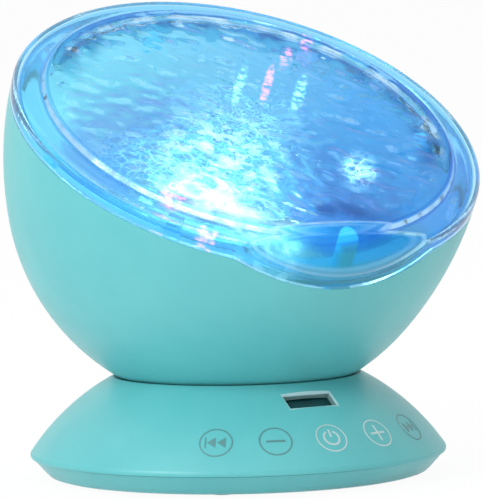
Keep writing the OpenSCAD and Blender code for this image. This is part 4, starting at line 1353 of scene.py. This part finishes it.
# %% Finish of the disc
def disc_finish():
    material, tree, surface, inside = clear_base(
        "clear disc plastic", rgb(206, 244, 255), rgb(190, 234, 255), 1.3
    )
    water = place_group(tree, THREADS, inside, {"Size": 190.0, "Width": 0.2})
    core = patch(tree, inside, (-5, 5), (26, 20), 0.0)
    flecks = speckles(tree, inside, 150.0, 0.47, 0.6)
    light = add_light(tree, None, WHITE_HOT, 0.75, core, flecks)
    light = add_light(tree, light, rgb(60, 240, 220), 0.36, core)
    wide = patch(tree, inside, (-4, 18), (40, 44))
    light = add_light(tree, light, PALE_CYAN, 0.6, water["Threads"], wide)
    light = add_light(tree, light, rgb(40, 170, 190), 0.4, water["Patches"], wide)
    join(tree, light, surface["Emission Color"])
    surface["Emission Strength"].default_value = 0.75
    return material


disc_plastic = disc_finish()
disc_mesh = make_disc()
disc_mesh.transform(TO_METRES @ HEAD)
wave_disc = to_object(disc_mesh, "wave_disc", disc_plastic, 35)
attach(wave_disc, "rotor")
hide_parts("ripple_rotor")

# %% [markdown]
# ## Room
# A plain pale floor and soft light. The world is an even white. Rays that reach the camera straight,
# by a mirror or through glass see it at full white; the light that it sheds on the object is lower.


# %% World
def seen_directly(tree):
    """1 for rays that come from the camera, straight, by a mirror or through glass."""
    path = add_node(tree, "LightPath").outputs
    seen = math_node(tree, "MAXIMUM", path["Is Camera Ray"], path["Is Glossy Ray"])
    return math_node(tree, "MAXIMUM", seen, path["Is Transmission Ray"])


world = bpy.data.worlds.new("studio")
scene.world = world
world.use_nodes = True
sky = world.node_tree
background = sky.nodes["Background"]
background.inputs["Color"].default_value = WHITE
join(sky, spread(sky, seen_directly(sky), 0, 1, 0.56, 1.0), background.inputs["Strength"])
print("world:", world.name)

# %% [markdown]
# The floor stands for a table in a white room. A plain white plane would look grey in the object's own
# shade, so the camera sees it almost as pure light. What is left of its shading is a faint shadow.


# %% Floor
def make_floor():
    material, tree, surface, place = start_material("studio floor")
    tones = {"Size": 6.0, "First": rgb(250, 250, 250), "Second": rgb(247, 248, 249)}
    join(tree, place_group(tree, DRIFT, place, tones)["Colour"], surface["Base Color"])
    surface["Roughness"].default_value = 0.9
    plain = tree.nodes["Principled BSDF"].outputs[0]
    white = add_node(tree, "Emission", {"Color": WHITE, "Strength": 1.0}).outputs[0]
    share = spread(tree, seen_directly(tree), 0, 1, 0.0, 0.95)
    mix = fed_node(tree, "MixShader", {0: share, 1: plain, 2: white})
    join(tree, mix[0], tree.nodes["Material Output"].inputs["Surface"])
    bm = bmesh.new()
    bmesh.ops.create_grid(bm, x_segments=8, y_segments=8, size=40.0)
    return to_object(bm, "studio_floor", material)


make_floor()

# %% [markdown]
# A large soft lamp from the left shades the turquoise gently, and a second one overhead keeps the
# cover clear. Smaller lamps would leave hard glints on the ripples.


# %% Lamps of the room
def soft_lamp(name, at, aim, size, power):
    data = bpy.data.lights.new(name, "AREA")
    data.size = size
    data.energy = power
    lamp = bpy.data.objects.new(name, data)
    direction = Vector(aim) - Vector(at)
    lamp.matrix_world = Matrix.Translation(at) @ direction.to_track_quat("-Z", "Y").to_matrix().to_4x4()
    scene.collection.objects.link(lamp)


soft_lamp("key", (-1.5, -0.7, 1.1), (0, 0, 0.08), 1.1, 25)
soft_lamp("top", (0.1, 0.2, 1.9), (0, 0, 0.1), 1.2, 10)
scene.view_settings.view_transform = "Standard"
print("lamps of the room:", len(bpy.data.lights))
